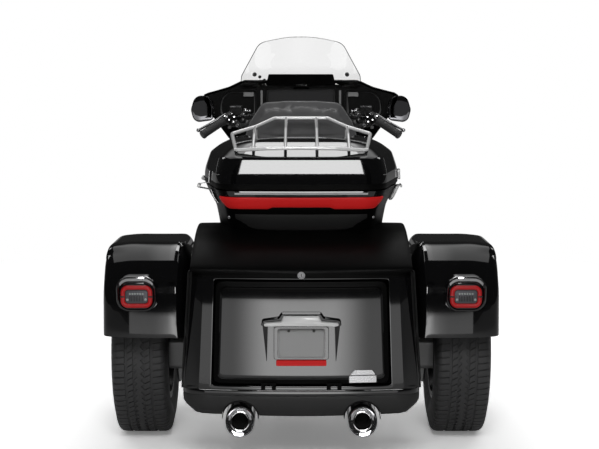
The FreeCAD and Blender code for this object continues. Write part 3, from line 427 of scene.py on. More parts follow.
# ---- luggage trunk ------------------------------------------------------------------------------
# The trunk is a gloss black composite shell 7 mm thick, moulded in one with its roof, sides and the
# frame round the door. Inside it is textured black, with a floor and a bulkhead in front of the load.
trunk_lean, trunk_rear, floor_z, trunk_half = 34 / 390, -607.5, 300, 402
roof_line = [(118, 756), (60, 768), (-60, 792), (-180, 806), (-300, 804), (-400, 782), (-480, 752),
             (-538, 722), (-568, 700), (-577, 682)]
sill_line = [(118, 486), (60, 486), (-60, 486), (-122, 486), (-150, 300), (-250, 300), (-380, 300),
             (-500, 300), (-570, 300), (-607, 300)]
opening_low, opening_high, opening_low_half, opening_high_half = 314.5, 669.5, 303.0, 292.5


def rear_face(x, z):
    """How far back the trunk's rear face stands: bowed across and leaning ahead with height."""
    bow = x * x / 5200 if abs(x) < 321 else 19.8 + (abs(x) - 321) * 0.124
    corner = max(abs(x) - 357 + (z - floor_z) * 0.05, 0)
    curl = max(z - 612, 0) ** 2 * 0.0006
    return trunk_rear + bow + min(corner, 30) * 0.5 + curl + (z - floor_z) * trunk_lean


def half_width(z):
    """Half the trunk's width: the sides lean in and bow a little."""
    return trunk_half - (z - floor_z) * 0.085 + ((z - floor_z) / 500) ** 2 * 8


def trunk_cage():
    """A lattice of points over the sides, roof and rear face, with the door's opening left out."""
    right = [0.30, 0.60, 0.745, 0.765, 0.80, 0.885, 0.955, 1.0]
    across = [-share for share in reversed(right)] + [0] + right
    heights = [0.0, 0.012, 0.037, 0.055, 0.12, 0.30, 0.55, 0.80, 0.955, 0.972, 0.985, 1.0]
    points, faces, index = [], [], {}

    def vertex(i, j, k):
        if (i, j, k) not in index:
            foot, top = Vector(sill_line[j]), Vector(roof_line[j])
            y, z = foot.lerp(top, heights[k])
            x = across[i] * half_width(z)
            if 3 <= i <= 13:
                rise = (z - opening_low) / (opening_high - opening_low)
                edge = opening_low_half + rise * (opening_high_half - opening_low_half)
                step = {3: 36, 4: 6, 5: 0, 11: 0, 12: 6, 13: 36}.get(i)
                x = math.copysign(edge + step, across[i]) if step is not None else across[i] / 0.745 * edge
            if j == last:
                y = rear_face(x, z)
                if i in (0, 16):
                    y += 6
            if k == len(heights) - 1 and 0 < i < 16:
                z += 3 * (1 - (x / 380) ** 2)
            index[(i, j, k)] = len(points)
            points.append((x, y, z))
        return index[(i, j, k)]

    last, top = len(roof_line) - 1, len(heights) - 1
    for j in range(last):
        for k in range(top):
            faces.append((vertex(0, j, k), vertex(0, j + 1, k), vertex(0, j + 1, k + 1), vertex(0, j, k + 1)))
            faces.append((vertex(16, j, k), vertex(16, j, k + 1), vertex(16, j + 1, k + 1),
                          vertex(16, j + 1, k)))
        for i in range(16):
            faces.append((vertex(i, j, top), vertex(i, j + 1, top), vertex(i + 1, j + 1, top),
                          vertex(i + 1, j, top)))
    for i in range(16):
        for k in range(top):
            if not (5 <= i < 11 and 2 <= k < 9):
                faces.append((vertex(i, last, k), vertex(i + 1, last, k), vertex(i + 1, last, k + 1),
                              vertex(i, last, k + 1)))
    rim = [(i, 2) for i in range(5, 11)] + [(11, k) for k in range(2, 9)] + [(i, 9) for i in range(11, 5, -1)]
    rim += [(5, k) for k in range(9, 2, -1)]
    before = [vertex(i, last, k) for i, k in rim]
    for depth in (2.5, 8, 26):
        ring = []
        for i, k in rim:
            x, y, z = points[vertex(i, last, k)]
            ring.append(len(points))
            points.append((x, y + depth, z))
        for n in range(len(ring)):
            m = (n + 1) % len(ring)
            faces.append((before[n], before[m], ring[m], ring[n]))
        before = ring
    return points, faces


trunk = build("trunk", [(trunk_cage(), 0)], [paint_black, moulded_inside], crease=60, subdivide=3)
thicken(trunk, 7, 60, inner_finish=1)


def repaint(made, number, test):
    """Gives the faces whose middle passes the test another of the piece's finishes."""
    for face in made.data.polygons:
        if face.material_index == 0 and test(face.center):
            face.material_index = number


# A dull near-black with little reflection. On the trunk's roof and low sill, the door's rim, the case's lower
# tub and sides and the lid's lower band it is painted shade over the gloss paint; the door knuckles and sill
# hinges are really this black.
dull_black_and_painted_shade = finish_of("dull_black_and_painted_shade", (0.002, 0.002, 0.002), 0.40, grain=0.12, grain_size=700, cloud=0.05,
                       ior=1.16)
trunk.data.materials.append(dull_black_and_painted_shade)
# Faces above 676 mm and the low strip of the sill at the back take the dull black: painted shade that keeps
# the roof, shoulder and that strip dark.
repaint(trunk, 2, lambda c: c.z > 0.676 or (c.z < 0.3015 and c.y < -1.2))


def slab(x0, x1, y0, y1, z0, z1):
    """Points and faces of a plain block."""
    corners = [(x, y, z) for x in (x0, x1) for y in (y0, y1) for z in (z0, z1)]
    return corners, [(0, 1, 3, 2), (4, 6, 7, 5), (0, 4, 5, 1), (2, 3, 7, 6), (0, 2, 6, 4), (1, 5, 7, 3)]


load_floor = build("load_floor", [(slab(-386, 386, -584, -142, 301, 309), 0),
                                  (slab(-374, 374, -146, -136, 309, 786), 0)], [moulded_inside],
                   round_edges=2)
for piece in (trunk, load_floor):
    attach(piece, "chassis")
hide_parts("trunk_body")

# ---- trunk door ---------------------------------------------------------------------------------
# A drop-down door moulded like the shell: a sunk rim round a raised panel that bows across with the
# trunk. Its knuckles turn on steel pins at the sill, and its lock sits above it in the frame.


def plate_ring(corner_low, corner_high, low, high, radius, cells_across, cells_up):
    """A ring of points round a rounded rectangle, sides counted in cells; half widths given low and high."""
    flat = []
    flat += [(-1 + 2 * k / cells_across, -1) for k in range(cells_across)]
    flat += [(1, -1 + 2 * k / cells_up) for k in range(cells_up)]
    flat += [(1 - 2 * k / cells_across, 1) for k in range(cells_across)]
    flat += [(-1, 1 - 2 * k / cells_up) for k in range(cells_up)]
    ring = []
    mid, reach = (low + high) / 2, (high - low) / 2
    for u, v in flat:
        z = mid + v * reach
        half = corner_low + (corner_high - corner_low) * (v + 1) / 2
        x = u * half
        inner_x, inner_z = half - radius, reach - radius
        if abs(x) > inner_x and abs(z - mid) > inner_z:
            arm = Vector((abs(x) - inner_x, abs(z - mid) - inner_z)).normalized() * radius
            x, z = math.copysign(inner_x + arm.x, x), mid + math.copysign(inner_z + arm.y, z - mid)
        ring.append((x, z))
    return ring


def filled(ring, cells_across, cells_up):
    """The ring's inside as a grid blended from its four sides: a dict of (i, j) to (x, z)."""
    low = ring[:cells_across + 1]
    right = ring[cells_across:cells_across + cells_up + 1]
    high = ring[cells_across + cells_up:2 * cells_across + cells_up + 1][::-1]
    left = [ring[0]] + ring[2 * cells_across + cells_up:][::-1]
    grid = {}
    for i in range(cells_across + 1):
        for j in range(cells_up + 1):
            u, v = i / cells_across, j / cells_up
            grid[(i, j)] = tuple(
                (1 - v) * low[i][n] + v * high[i][n] + (1 - u) * left[j][n] + u * right[j][n]
                - ((1 - u) * (1 - v) * low[0][n] + u * (1 - v) * low[-1][n] + (1 - u) * v * high[0][n]
                   + u * v * high[-1][n]) for n in (0, 1))
    return grid


def panel(surface, rings, cells_across, cells_up):
    """Points and faces of a panel: (ring, depth) loops over a surface, the last one filled in."""
    rows = [[(x, surface(x, z) + depth, z) for x, z in ring] for ring, depth in rings]
    points, faces = skin(rows, closed=True)
    ring, depth = rings[-1]
    grid = filled(ring, cells_across, cells_up)
    first = len(points)
    for i in range(cells_across + 1):
        for j in range(cells_up + 1):
            x, z = grid[(i, j)]
            points.append((x, surface(x, z) + depth, z))
    for i in range(cells_across):
        for j in range(cells_up):
            a = first + i * (cells_up + 1) + j
            faces.append((a, a + cells_up + 1, a + cells_up + 2, a + 1))
    return points, faces


def door_face(steps):
    """One face of the door through (inset, corner radius, depth) steps from its edge inwards."""
    cells = (36, 24)
    return panel(rear_face, [(plate_ring(297 - inset, 287 - inset, 320 + inset, 664 - inset, radius, *cells),
                              depth) for inset, radius, depth in steps], *cells)


outside = door_face([(0, 24, 20), (0, 24, 7), (1.2, 23, 5.4), (3, 21, 5), (16, 16, 5), (18, 15, 4.4),
                     (19.2, 14, 3), (19.8, 14, 1.2), (21.2, 13, 0.2), (24, 12, 0)])
inside = door_face([(0, 24, 20), (4, 22, 22)])
door = build("door", [(outside, 0), (inside, 1)], [paint_black, moulded_inside, dull_black_and_painted_shade], crease=60)
# The door's top and bottom bands and its sides take the dull black: painted shade round the door's rim.
repaint(door, 2, lambda c: c.z > 0.634 or c.z < 0.337 or abs(c.x) > 0.280 - (c.z - 0.32) * 0.029)
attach(door, "trunk_door")
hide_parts("trunk_door")


def turned(profile, sides, place, axis, cap_first=False, cap_last=False):
    """Points and faces of an (along, radius) profile turned about an axis through a place."""
    axis = Vector(axis).normalized()
    side = axis.orthogonal().normalized()
    other = axis.cross(side)
    rows = []
    for along_axis, radius in profile:
        row = []
        for k in range(sides):
            turn = 2 * math.pi * k / sides
            row.append(Vector(place) + axis * along_axis + (side * math.cos(turn)
                                                            + other * math.sin(turn)) * radius)
        rows.append(row)
    return skin(rows, closed=True, first_cap=cap_first, last_cap=cap_last)


steel_bright = finish_of("steel_bright", (0.55, 0.55, 0.56), 0.22, metallic=1.0, cloud=0.04, grain=0.03,
                         grain_size=900)
pin_y, pin_z, knuckle_places = -604, 322, (-110, 110)
knuckles = [(turned([(-10.5, 2.1), (-10.5, 4), (10.5, 4), (10.5, 2.1)], 20, (x, pin_y, pin_z), (1, 0, 0)), 0)
            for x in knuckle_places]
door_knuckles = build("door_knuckles", knuckles, [dull_black_and_painted_shade], crease=35)
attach(door_knuckles, "trunk_door")
pins = []
for x in knuckle_places:
    for x0 in (-25, 11):
        pins.append((turned([(0, 4), (14, 4)], 20, (x + x0, pin_y, pin_z), (1, 0, 0), True, True), 0))
        pins.append((slab(x + x0, x + x0 + 14, pin_y - 4, pin_y + 4, 303, pin_z), 0))
    pins.append((turned([(-25.3, 2), (25.3, 2)], 12, (x, pin_y, pin_z), (1, 0, 0), True, True), 0))
sill_knuckles = build("sill_knuckles", pins, [dull_black_and_painted_shade], crease=35)
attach(sill_knuckles, "chassis")

lock_z = 686
lock_y = rear_face(0, lock_z)
lock_parts = [(turned([(0, 13.5), (3, 13.5), (4, 12.6), (4, 9.5), (2.6, 8.8), (2.6, 0.3)], 32,
                      (0, lock_y + 1, lock_z), (0, -1, -0.09), False, True), 0),
              (slab(-0.9, 0.9, lock_y - 2.2, lock_y, lock_z - 5, lock_z + 5), 1)]
# The keyway is a black strip on the plug: painted shade standing in for the slot.
keyway_painted_shade = finish_of("keyway_painted_shade", (0.006, 0.006, 0.006), 0.7, grain=0.1)
lock = build("door_lock", lock_parts, [steel_bright, keyway_painted_shade], crease=30)
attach(lock, "chassis")

# a blank badge: a satin nickel shape with a roof-like upper bar, bonded to the door
nickel = finish_of("nickel", (0.75, 0.75, 0.76), 0.28, metallic=1.0, cloud=0.03, grain=0.02)


def rounded(x0, x1, z0, z1, radius):
    """The corners of a rectangle whose corners have one radius."""
    return [(x0, z0, radius), (x1, z0, radius), (x1, z1, radius), (x0, z1, radius)]


def raised_shape(corners, surface, base, height, steps=3, edge=0.8):
    """A flat shape standing on a surface, its edge rounded."""
    ring = [(p.x, p.y) for p in outline(corners, steps)]
    middle = (sum(p[0] for p in ring) / len(ring), sum(p[1] for p in ring) / len(ring))

    def drawn(amount, rise):
        row = []
        for x, z in ring:
            arm = Vector((x - middle[0], z - middle[1]))
            arm *= 1 - amount / max(arm.length, 0.1)
            row.append((middle[0] + arm.x, surface(middle[0] + arm.x, middle[1] + arm.y) - rise,
                        middle[1] + arm.y))
        return row

    return skin([drawn(0, -base), drawn(0, height - edge), drawn(edge, height)], closed=True, last_cap=True)


badge_bar, badge_roof = rounded(160, 252, 326, 349, 2), [(163, 352, 1), (249, 352, 1), (238, 368, 5),
                                                         (178, 368, 5)]
badge = build("door_badge", [(raised_shape(shape, rear_face, 1, 2.2), 0)
                             for shape in (badge_bar, badge_roof)], [nickel], crease=30)
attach(badge, "trunk_door")

# ---- licence plate and its holder ---------------------------------------------------------------
# A black plastic holder with a fin down each side carries the plate under a bright plated lamp hood,
# and a red reflector below it. The plate is a pressed blank: a raised border and two screws.
bright_plate = finish_of("bright_plate", (0.86, 0.86, 0.87), 0.05, metallic=1.0, cloud=0.015, grain=0.002,
                         grain_size=200)
satin_plastic = finish_of("satin_plastic", (0.010, 0.010, 0.010), 0.28, grain=0.08, grain_size=1200,
                          cloud=0.05)
# The red lens glows a little: on the case's tail lamp that is its lamp, on the plate holder's reflector it is
# a painted glow.
red_lens = finish_of("red_lens", (0.52, 0.012, 0.012), 0.30, grain=0.02, ior=1.2,
                     Emission_Color=(0.8, 0.03, 0.03, 1), Emission_Strength=0.15)
plate_paint = finish_of("plate_paint", (0.30, 0.30, 0.30), 0.33, grain=0.05, grain_size=800, coat=0.2)


def fin_face(x, z):
    return rear_face(x, z) - 36 * max(z - 388, 0) / 138


# This plated finish is nearly white and mostly diffuse: a painted reflection of the bright surroundings on
# the lamp hood, hinge leaves, latch and rack.
chrome_with_painted_reflection = finish_of("chrome_with_painted_reflection", (1.0, 1.0, 1.0), 0.22, metallic=0.2, cloud=0.03, grain=0.01, coat=1.0)


def hood_face(x, z):
    return rear_face(x, z) - 62 + (z - 526) * 0.10 + (x / 128) ** 2 * 9


holder = [(raised_shape([(-134, 524, 4), (134, 524, 4), (131, 541, 9), (76, 549, 8), (66, 564, 7),
                         (-66, 564, 7), (-76, 549, 8), (-131, 541, 9)], rear_face, 2, 38, 5, 3), 0)]
for side in (-1, 1):
    fin = [(side * 129, 528, 1), (side * 111, 528, 1), (side * 115.5, 388, 0.8)]
    holder.append((raised_shape(fin if side < 0 else fin[::-1], fin_face, 34, 1.0, 3, 0.6), 0))
holder.append((raised_shape(rounded(-92, 92, 407, 517, 8), lambda x, z: rear_face(0, z),
                             1, 12, 4, 2), 0))
# The reflector under the plate glows through the red lens's emission: a painted glow, as a reflector is no
# lamp.
holder.append((raised_shape(rounded(-84, 84, 386, 404, 3), rear_face, 1, 14, 4, 2), 1))
plate_holder = build("plate_holder", holder, [paint_black, red_lens], crease=40)
# The lamp hood wears the white plated finish, its brightness a painted reflection.
hood = build("plate_lamp_hood",
             [(raised_shape([(-127, 526, 4), (127, 526, 4), (121, 536, 8), (66, 541, 4), (59, 558, 6),
                             (-59, 558, 6), (-66, 541, 4), (-121, 536, 8)], hood_face, 26, 0, 6, 4), 0)],
             [chrome_with_painted_reflection], crease=60)


def plate_face(x, z):
    return rear_face(0, z) - 14.5


plate_rings = [(plate_ring(80 - inset, 80 - inset, 412 + inset, 511 - inset, 9, 24, 14), depth)
               for inset, depth in ((0, 1.4), (0, 0.3), (0.4, 0), (3.4, 0), (4.2, -0.9), (6.4, -0.9),
                                    (7.2, 0))]
plate = build("licence_plate_blank", [(panel(plate_face, plate_rings, 24, 14), 0)], [plate_paint], crease=40)
screws = [(turned([(0, 5), (1.6, 4.6), (2.2, 3), (2.2, 0.3)], 16, (x, plate_face(x, 504), 504),
                  (0, -1, -0.09), False, True), 0) for x in (-42, 42)]
plate_screws = build("plate_screws", screws, [satin_plastic], crease=30)
for piece in (plate_holder, hood, plate, plate_screws):
    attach(piece, "trunk_door")
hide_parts("plate_bracket")
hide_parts("licence_plate")

# ---- rear valance -------------------------------------------------------------------------------
# The bumper panel under the trunk is one moulding: a gloss painted band along its top edge, textured
# grey-black plastic below, and an arch over each tail pipe. It clips to the trunk's sill.
valance_plastic = finish_of("valance_plastic", (0.022, 0.022, 0.022), 0.55, grain=0.35, grain_size=900,
                            detail=6.0, shift=0.2)
pipe_x, pipe_z = 205.0, 203.0
arch_r, band_foot = 64, 279.5


def valance_columns():
    """Places along the panel's plan as (x, y, outward x, outward y), left side round to the right."""
    half = []
    for y in (-300, -380, -460, -520):
        half.append((-402, y, -1.0, 0.0))
    for k in range(1, 8):
        across, back = math.cos(math.radians(83 * k / 8)), math.sin(math.radians(83 * k / 8))
        half.append((-342 - 60 * across, -524 - 60 * back, -across, -back))
    for x in (-334, -318, -300, -286, -276, -270, -268.5, -266, -261, -253, -240, -224, -205, -186, -170,
              -157, -149, -144, -141.5, -140, -134, -120, -100, -75, -50, -25):
        slope = x / 2600
        length = math.hypot(1, slope)
        half.append((x, rear_face(x, 300) - 6, slope / length, -1 / length))
    return half + [(0, rear_face(0, 300) - 6, 0.0, -1.0)] + [(-x, y, -u, v) for x, y, u, v in reversed(half)]


def valance_rows(heights, shares):
    """Rows at fixed heights, then rows at shares of the way down to the panel's bottom edge."""
    rows = [[] for _ in heights + shares]
    for x, y, u, v in valance_columns():
        reach = abs(abs(x) - pipe_x)
        foot = 211 + (x / 402) ** 2 * 6
        if reach < arch_r and v < -0.9:
            foot = max(foot, pipe_z + math.sqrt(arch_r ** 2 - reach ** 2))
        levels = heights + [(band_foot + (foot - band_foot) * share, 0) for share in shares]
        for row, (z, drop) in zip(rows, levels):
            tuck = max(262 - z, 0) * (0.80 * abs(u) + 0.20) * max(262 - z, 0) / 51
            lean = max(z - band_foot, 0) * trunk_lean
            row.append(Vector((x - u * (drop + tuck), y + lean - v * (drop + tuck), z)))
    return rows


band = valance_rows([(299.5, 3.0), (299, 1.2), (297.8, 0.1), (297.2, 0), (290, 0), (284.2, 0), (283.6, 0.1),
                     (282.6, 0.9)], [])
lower = valance_rows([(282.6, 0.9), (281, 1.6), (band_foot, 0.6)], [0.03, 0.2, 0.4, 0.6, 0.8, 0.93, 0.98,
                                                                    1.0])
valance = build("rear_valance_panel", [(skin(band), 0), (skin(lower), 1)], [paint_black, valance_plastic],
                crease=50)
thicken(valance, 5, 50)
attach(valance, "chassis")
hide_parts("rear_valance")

# ---- silencers and tail pipes -------------------------------------------------------------------
# Each silencer is a chromed steel drum with a rolled seam at its end cap. The tail pipe is a polished
# sleeve cut on the slant, with a dished baffle plate round a sooted bore inside it.
chrome = finish_of("chrome", (0.84, 0.84, 0.85), 0.045, metallic=1.0, cloud=0.015, grain=0.002,
                   grain_size=160)
# The soot black darkens the bore, which is really sooted, and the half tube behind each arch, where it is
# painted shade.
soot_and_painted_shade = finish_of("soot_and_painted_shade", (0.004, 0.004, 0.004), 0.9, grain=0.2)
for side, name in ((-1, "left"), (1, "right")):
    x = side * pipe_x
    drum = [(-296, 30), (-288, 40), (-270, 45), (-240, 46), (440, 46), (446, 47.6), (454, 47.6), (458, 46),
            (470, 46)]
    sleeve = [(468, 46.5), (471, 48.4), (476, 49), (560, 49), (600, 49), (646, 49), (650.5, 48.2),
              (652, 46.8), (650.5, 45.4), (646, 44.8), (630, 44.6), (627, 44)]
    baffle = [(627, 44), (630, 41), (634, 37), (637, 33), (638, 30), (637.5, 28.2), (634, 27.6), (622, 27.4)]
    bore = [(622, 27.4), (560, 27.4)]
    parts = []
    for profile, number, cap in ((drum, 0, False), (sleeve, 0, False), (baffle, 0, False), (bore, 1, True)):
        points, faces = turned(profile, 56, (x, 0, pipe_z), (0, -1, 0), False, cap)
        slant = []
        for point in points:
            share = min(max((-point.y - 520) / 90, 0), 1)
            slant.append(Vector((point.x, point.y + share * 0.25 * (point.z - pipe_z), point.z)))
        parts.append(((slant, faces), number))
    # A dark half tube over each tail pipe, behind the valance arch, in the soot black: painted shade that
    # keeps the inside of the arch black.
    shade_tube = [[Vector((x + 62 * math.cos(math.pi * k / 24), y, pipe_z + 62 * math.sin(math.pi * k / 24)))
               for k in range(25)] for y in (-560, -606)]
    inner = [[Vector((x + (p.x - x) * 0.96, p.y, pipe_z + (p.z - pipe_z) * 0.96)) for p in row]
             for row in reversed(shade_tube)]
    parts.append((skin(shade_tube + inner + [shade_tube[0]]), 1))
    for y in (-230, -420):
        parts.append((slab(x - 14, x + 14, y - 3, y + 3, pipe_z + 40, 299.5), 0))
    silencer = build(name + "_silencer", parts, [chrome, soot_and_painted_shade], crease=50)
    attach(silencer, "chassis")
    if side > 0:
        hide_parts("mufflers")

# ---- tail lamps on the wings --------------------------------------------------------------------
# A chromed die-cast bezel with a visor holds a smoked lens, a red ring light guide, and
# a clear middle with a row of white emitters over a ribbed indicator.
lamp_black = finish_of("lamp_black", (0.006, 0.005, 0.006), 0.08, grain=0.01, coat=0.8)
clear_core = finish_of("clear_core", (0.10, 0.10, 0.11), 0.30, metallic=0.5, grain=0.25, grain_size=260)
emitter = finish_of("emitter", (0.42, 0.46, 0.45), 0.3, grain=0.02)
ring_red = finish_of("ring_red", (0.40, 0.006, 0.008), 0.30, grain=0.02, Emission_Color=(0.6, 0.01, 0.015, 1),
                     Emission_Strength=0.12)


def loop(middle_x, middle_z, half_x, half_z, radius, y, lean=0.0, steps=8):
    """A ring of points round a rounded rectangle that stands at y, leaning ahead with height."""
    corners = rounded(middle_x - half_x, middle_x + half_x, middle_z - half_z, middle_z + half_z, radius)
    return [Vector((p.x, y + lean * (p.y - middle_z), p.y)) for p in outline(corners, steps)]


for side, name in ((-1, "left"), (1, "right")):
    x, z = side * 562, 603
    bezel = [loop(x, *size) for size in ((z, 69, 62, 44, -430), (z, 69, 62, 44, -470, -0.13),
                                         (z, 68, 61, 43, -474, -0.15), (z - 1, 64.5, 57.5, 40, -476, -0.16),
                                         (z - 4.5, 61, 51, 37, -473, -0.12), (z - 5, 60, 49.5, 36, -462))]
    lens = [loop(x, *size) for size in ((z - 5, 60, 49.5, 36, -462), (z - 5, 58, 47.5, 34, -467),
                                        (z - 6, 52, 42, 30, -470), (z - 6, 46, 36, 24, -470))]
    parts = [(skin(bezel, closed=True), 0), (skin(lens, closed=True, last_cap=True), 1)]
    lamp = build(name + "_tail_lamp", parts, [chrome, lamp_black], crease=50)
    repaint(lamp, 1, lambda c: c.z < 0.640)
    ring_z = z - 9
    guide = [loop(x, ring_z, 54 - inset, 39 - inset, radius, y) for inset, radius, y in (
        (0, 24, -469), (1, 23, -473), (4, 20, -475), (11, 14, -475), (14, 12, -473), (15, 11, -469))]
    ring = build(name + "_ring_guide", [(skin(guide, closed=True), 0)], [ring_red], crease=50)
    core = [(skin([loop(x, ring_z, 38 - inset, 23 - inset, radius, y) for inset, radius, y in (
        (0, 11, -469), (1, 10, -471.5), (4, 8, -472))], closed=True, last_cap=True), 0)]
    for k in range(6):
        core.append((turned([(0, 3.6), (1.6, 3.2), (2.6, 1.6), (2.8, 0.2)], 12,
                            (x - 22 + 8.8 * k, -471.8, 604), (0, -1, 0), False, True), 1))
    for k in range(9):
        core.append((slab(x - 23.2 + 5.4 * k, x - 20.6 + 5.4 * k, -474.4, -471, 578, 597), 2))
    for k in (-1, 1):
        core.append((turned([(0, 4.6), (2, 4.2), (3, 2), (3.2, 0.2)], 14, (x + 31 * k, -471, 584), (0, -1, 0),
                            False, True), 1))
    for start in (-56, 41):
        core.append((slab(x + start, x + start + 15, -475.6, -472, 592, 597), 2))
    middle = build(name + "_lamp_core", core, [clear_core, emitter, lamp_black], crease=40)
    for piece in (lamp, ring, middle):
        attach(piece, "chassis")
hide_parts("rear_lamps")

# ---- top case -----------------------------------------------------------------------------------
# The case is a moulded tub that flares out to its seam and is painted gloss black, with a plain red
# lamp wrapped round its back, a dark trim lip, and a textured cover panel held by two screws below.


def plan_line(half, rear, front):
    """Points round a level cut of the case or its lid, from the middle of its rear edge."""
    corners = [(half * 0.90, front, 50), (half, -110, 260), (half * 0.80, rear + 10, 70), (0, rear, 3000)]
    corners += [(-u, v, radius) for u, v, radius in reversed(corners[:-1])]
    points = outline(corners, 8)
    first = min(range(len(points)), key=lambda i: (points[i] - Vector((0, rear))).length)
    return points[first:] + points[:first + 1]


def plan_ring(z, half, rear, front, count=120):
    """The level cut as equal steps at one height."""
    line = spread(plan_line(half, rear, front), [k / count for k in range(count)])
    return [Vector((p.x, p.y, z)) for p in line]


def between(sections, z):
    """Half width, rear edge and front edge at a height, eased between (z, half, rear, front) sections."""
    rows = [[Vector(section)] for section in sections]
    for a, b in zip(flow(rows, 12), flow(rows, 12)[1:]):
        if a[0][0] <= z <= b[0][0]:
            mix = (z - a[0][0]) / (b[0][0] - a[0][0])
            return [a[0][i] + (b[0][i] - a[0][i]) * mix for i in (1, 2, 3)]
    return list(sections[-1][1:])


def shell_point(sections, z, reach, out):
    """A point on the shell at a height, a signed distance round from its rear middle, pushed outwards."""
    line = plan_line(*between(sections, z))
    if reach < 0:
        line = line[::-1]
    left = abs(reach)
    for a, b in zip(line, line[1:]):
        step = (b - a).length
        if step >= left and step > 0:
            run = (b - a) / step
            spot = a + run * left
            side = Vector((run.y, -run.x)) if reach >= 0 else Vector((-run.y, run.x))
            if side.dot(spot - Vector((0, -150))) < 0:
                side = -side
            return Vector((spot.x + side.x * out, spot.y + side.y * out, z))
        left -= step
    return Vector((line[0].x, line[0].y, z))


case_shape = [(770, 296, -300, 60), (868, 312, -366, 80), (904, 332, -380, 86), (946, 350, -392, 92)]
rows = [plan_ring(770, 286, -290, 50)]
rows += [plan_ring(z, *between(case_shape, z)) for z in (774, 790, 810, 830, 850, 868, 886, 904, 920, 932,
                                                         940, 945)]
rows += [plan_ring(946, 346, -388, 88)]
case_shell = build("top_case_tub", [(skin(rows, closed=True, first_cap=True), 0)],
                   [paint_black, moulded_inside], crease=40, wall=6.0, wall_finish=1)
case_shell.data.materials.append(dull_black_and_painted_shade)
# Below 886 mm and at its sides the tub takes the dull black: painted shade over its gloss paint.
repaint(case_shell, 2, lambda c: c.z < 0.886 or abs(c.x) > 0.262)
stays = [(turned([(0, 14), (42, 14)], 20, (x, 60, 880), (0, 1, 0), True, True), 0) for x in (-120, 120)]
case_stays = build("case_stays", stays, [powder_coat], crease=40)
for piece in (case_shell, case_stays):
    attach(piece, "chassis")
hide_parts("top_case")


def wrap(sections, heights, reach_at, outs, cells):
    """A strip round the shell: for each (height, out) row it runs from -reach to +reach."""
    rows = []
    for z, out in zip(heights, outs):
        reach = reach_at(z)
        rows.append([shell_point(sections, z, -reach + 2 * reach * k / cells, out) for k in range(cells + 1)])
    return rows


def sheet(name, rows, finish, wall, crease=40):
    """A thin moulding through rows of points."""
    made = build(name, [(skin(rows), 0)], [finish], crease=crease)
    thicken(made, wall, crease)
    return made


lens_levels = [882, 882, 884, 890, 900, 910, 918, 922, 924, 924]
lens_outs = [-2, 3, 6, 7.5, 8, 8, 7, 5, 3, -2]
lens_rows = wrap(case_shape, lens_levels, lambda z: 274 + (z - 882) * 0.5, lens_outs, 96)
for row in lens_rows:
    for k, point in enumerate(row):
        share = abs(k / 48 - 1)
        raised = max(0.0, min(1.0, (0.42 - share) / 0.06)) * 6 * (924 - point.z) / 42
        taper = max(share - 0.93, 0) / 0.07 * 9 * (924 - point.z) / 42
        point.z += raised + taper
case_lamp = sheet("case_tail_lamp", lens_rows, red_lens, 3, 50)
trim = wrap(case_shape, [926, 926.4, 931.8, 932.4], lambda z: 158, [-2, 8, 8.2, -2], 40)
strip = wrap(case_shape, [934.2, 934.6, 937.6, 940.8, 941.2], lambda z: 228, [-3, 9, 9.1, 9, -3], 60)
trim_lip = sheet("case_trim_lip", trim, satin_plastic, 2)
bright_strip = sheet("case_bright_strip", strip, bright_plate, 2)
cover_levels = [798, 799, 806, 830, 856, 861, 862]
cover_outs = [-2, 3, 5, 5, 5, 3, -2]
cover_rows = wrap(case_shape, cover_levels, lambda z: 226 + (z - 800) * 0.05, cover_outs, 60)
for row in cover_rows:
    for k, point in enumerate(row):
        point.z += 20 * (k / 30 - 1) ** 4 * (862 - point.z) / 64
cover = sheet("case_cover_panel", cover_rows, valance_plastic, 3)
bolts = []
for reach in (-262, 262):
    spot = shell_point(case_shape, 846, reach, 0)
    bolts.append((turned([(-1, 6), (2, 6), (3.4, 5), (4, 3.2), (3, 2.8), (3, 0.3)], 20, spot, (0, -1, -0.3),
                         False, True), 0))
case_bolts = build("case_cover_screws", bolts, [nickel], crease=30)
for piece in (case_lamp, trim_lip, bright_strip, cover, case_bolts):
    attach(piece, "chassis")

# ---- top case lid -------------------------------------------------------------------------------
# The lid is a domed moulding hinged along its left edge, lacquered gloss black with a fine grey
# pinstripe at each rear corner. Its rim carries a soft rubber seal that sits over the tub.
stripe_grey = finish_of("stripe_grey", (0.20, 0.20, 0.20), 0.3)
seal_rubber = finish_of("seal_rubber", (0.012, 0.012, 0.012), 0.7, grain=0.2)
lid_shape = [(951, 354, -395, 94), (985, 353, -392, 93), (1002, 350, -389.2, 92), (1030, 341, -381.6, 91),
             (1052, 333, -375, 90), (1057, 330, -372, 89), (1061, 326, -366.5, 87), (1065, 321, -358, 85),
             (1083, 296, -320, 73), (1097, 266, -290, 58)]
rows = [plan_ring(951, 351, -392, 91), plan_ring(951.5, 353.6, -394.6, 93.6)]
rows += [plan_ring(z, *between(lid_shape, z)) for z in (953, 970, 985, 1000, 1010, 1020, 1030, 1040, 1050,
                                                        1054, 1057, 1059, 1061, 1063, 1065, 1068, 1072, 1078,
                                                        1084, 1090, 1097)]
crown, middle = rows[-1], Vector((0, -115, 1097))
for share, z in ((0.93, 1101.5), (0.86, 1105), (0.68, 1111), (0.46, 1114.5), (0.22, 1116), (0.06, 1116.5)):
    rows.append([Vector((p.x * share, middle.y + (p.y - middle.y) * share, z)) for p in crown])
lid_shell = build("top_case_lid", [(skin(rows, closed=True, last_cap=True), 0)],
                  [paint_black, moulded_inside], crease=30, wall=6.0, wall_finish=1)
lid_shell.data.materials.append(dull_black_and_painted_shade)
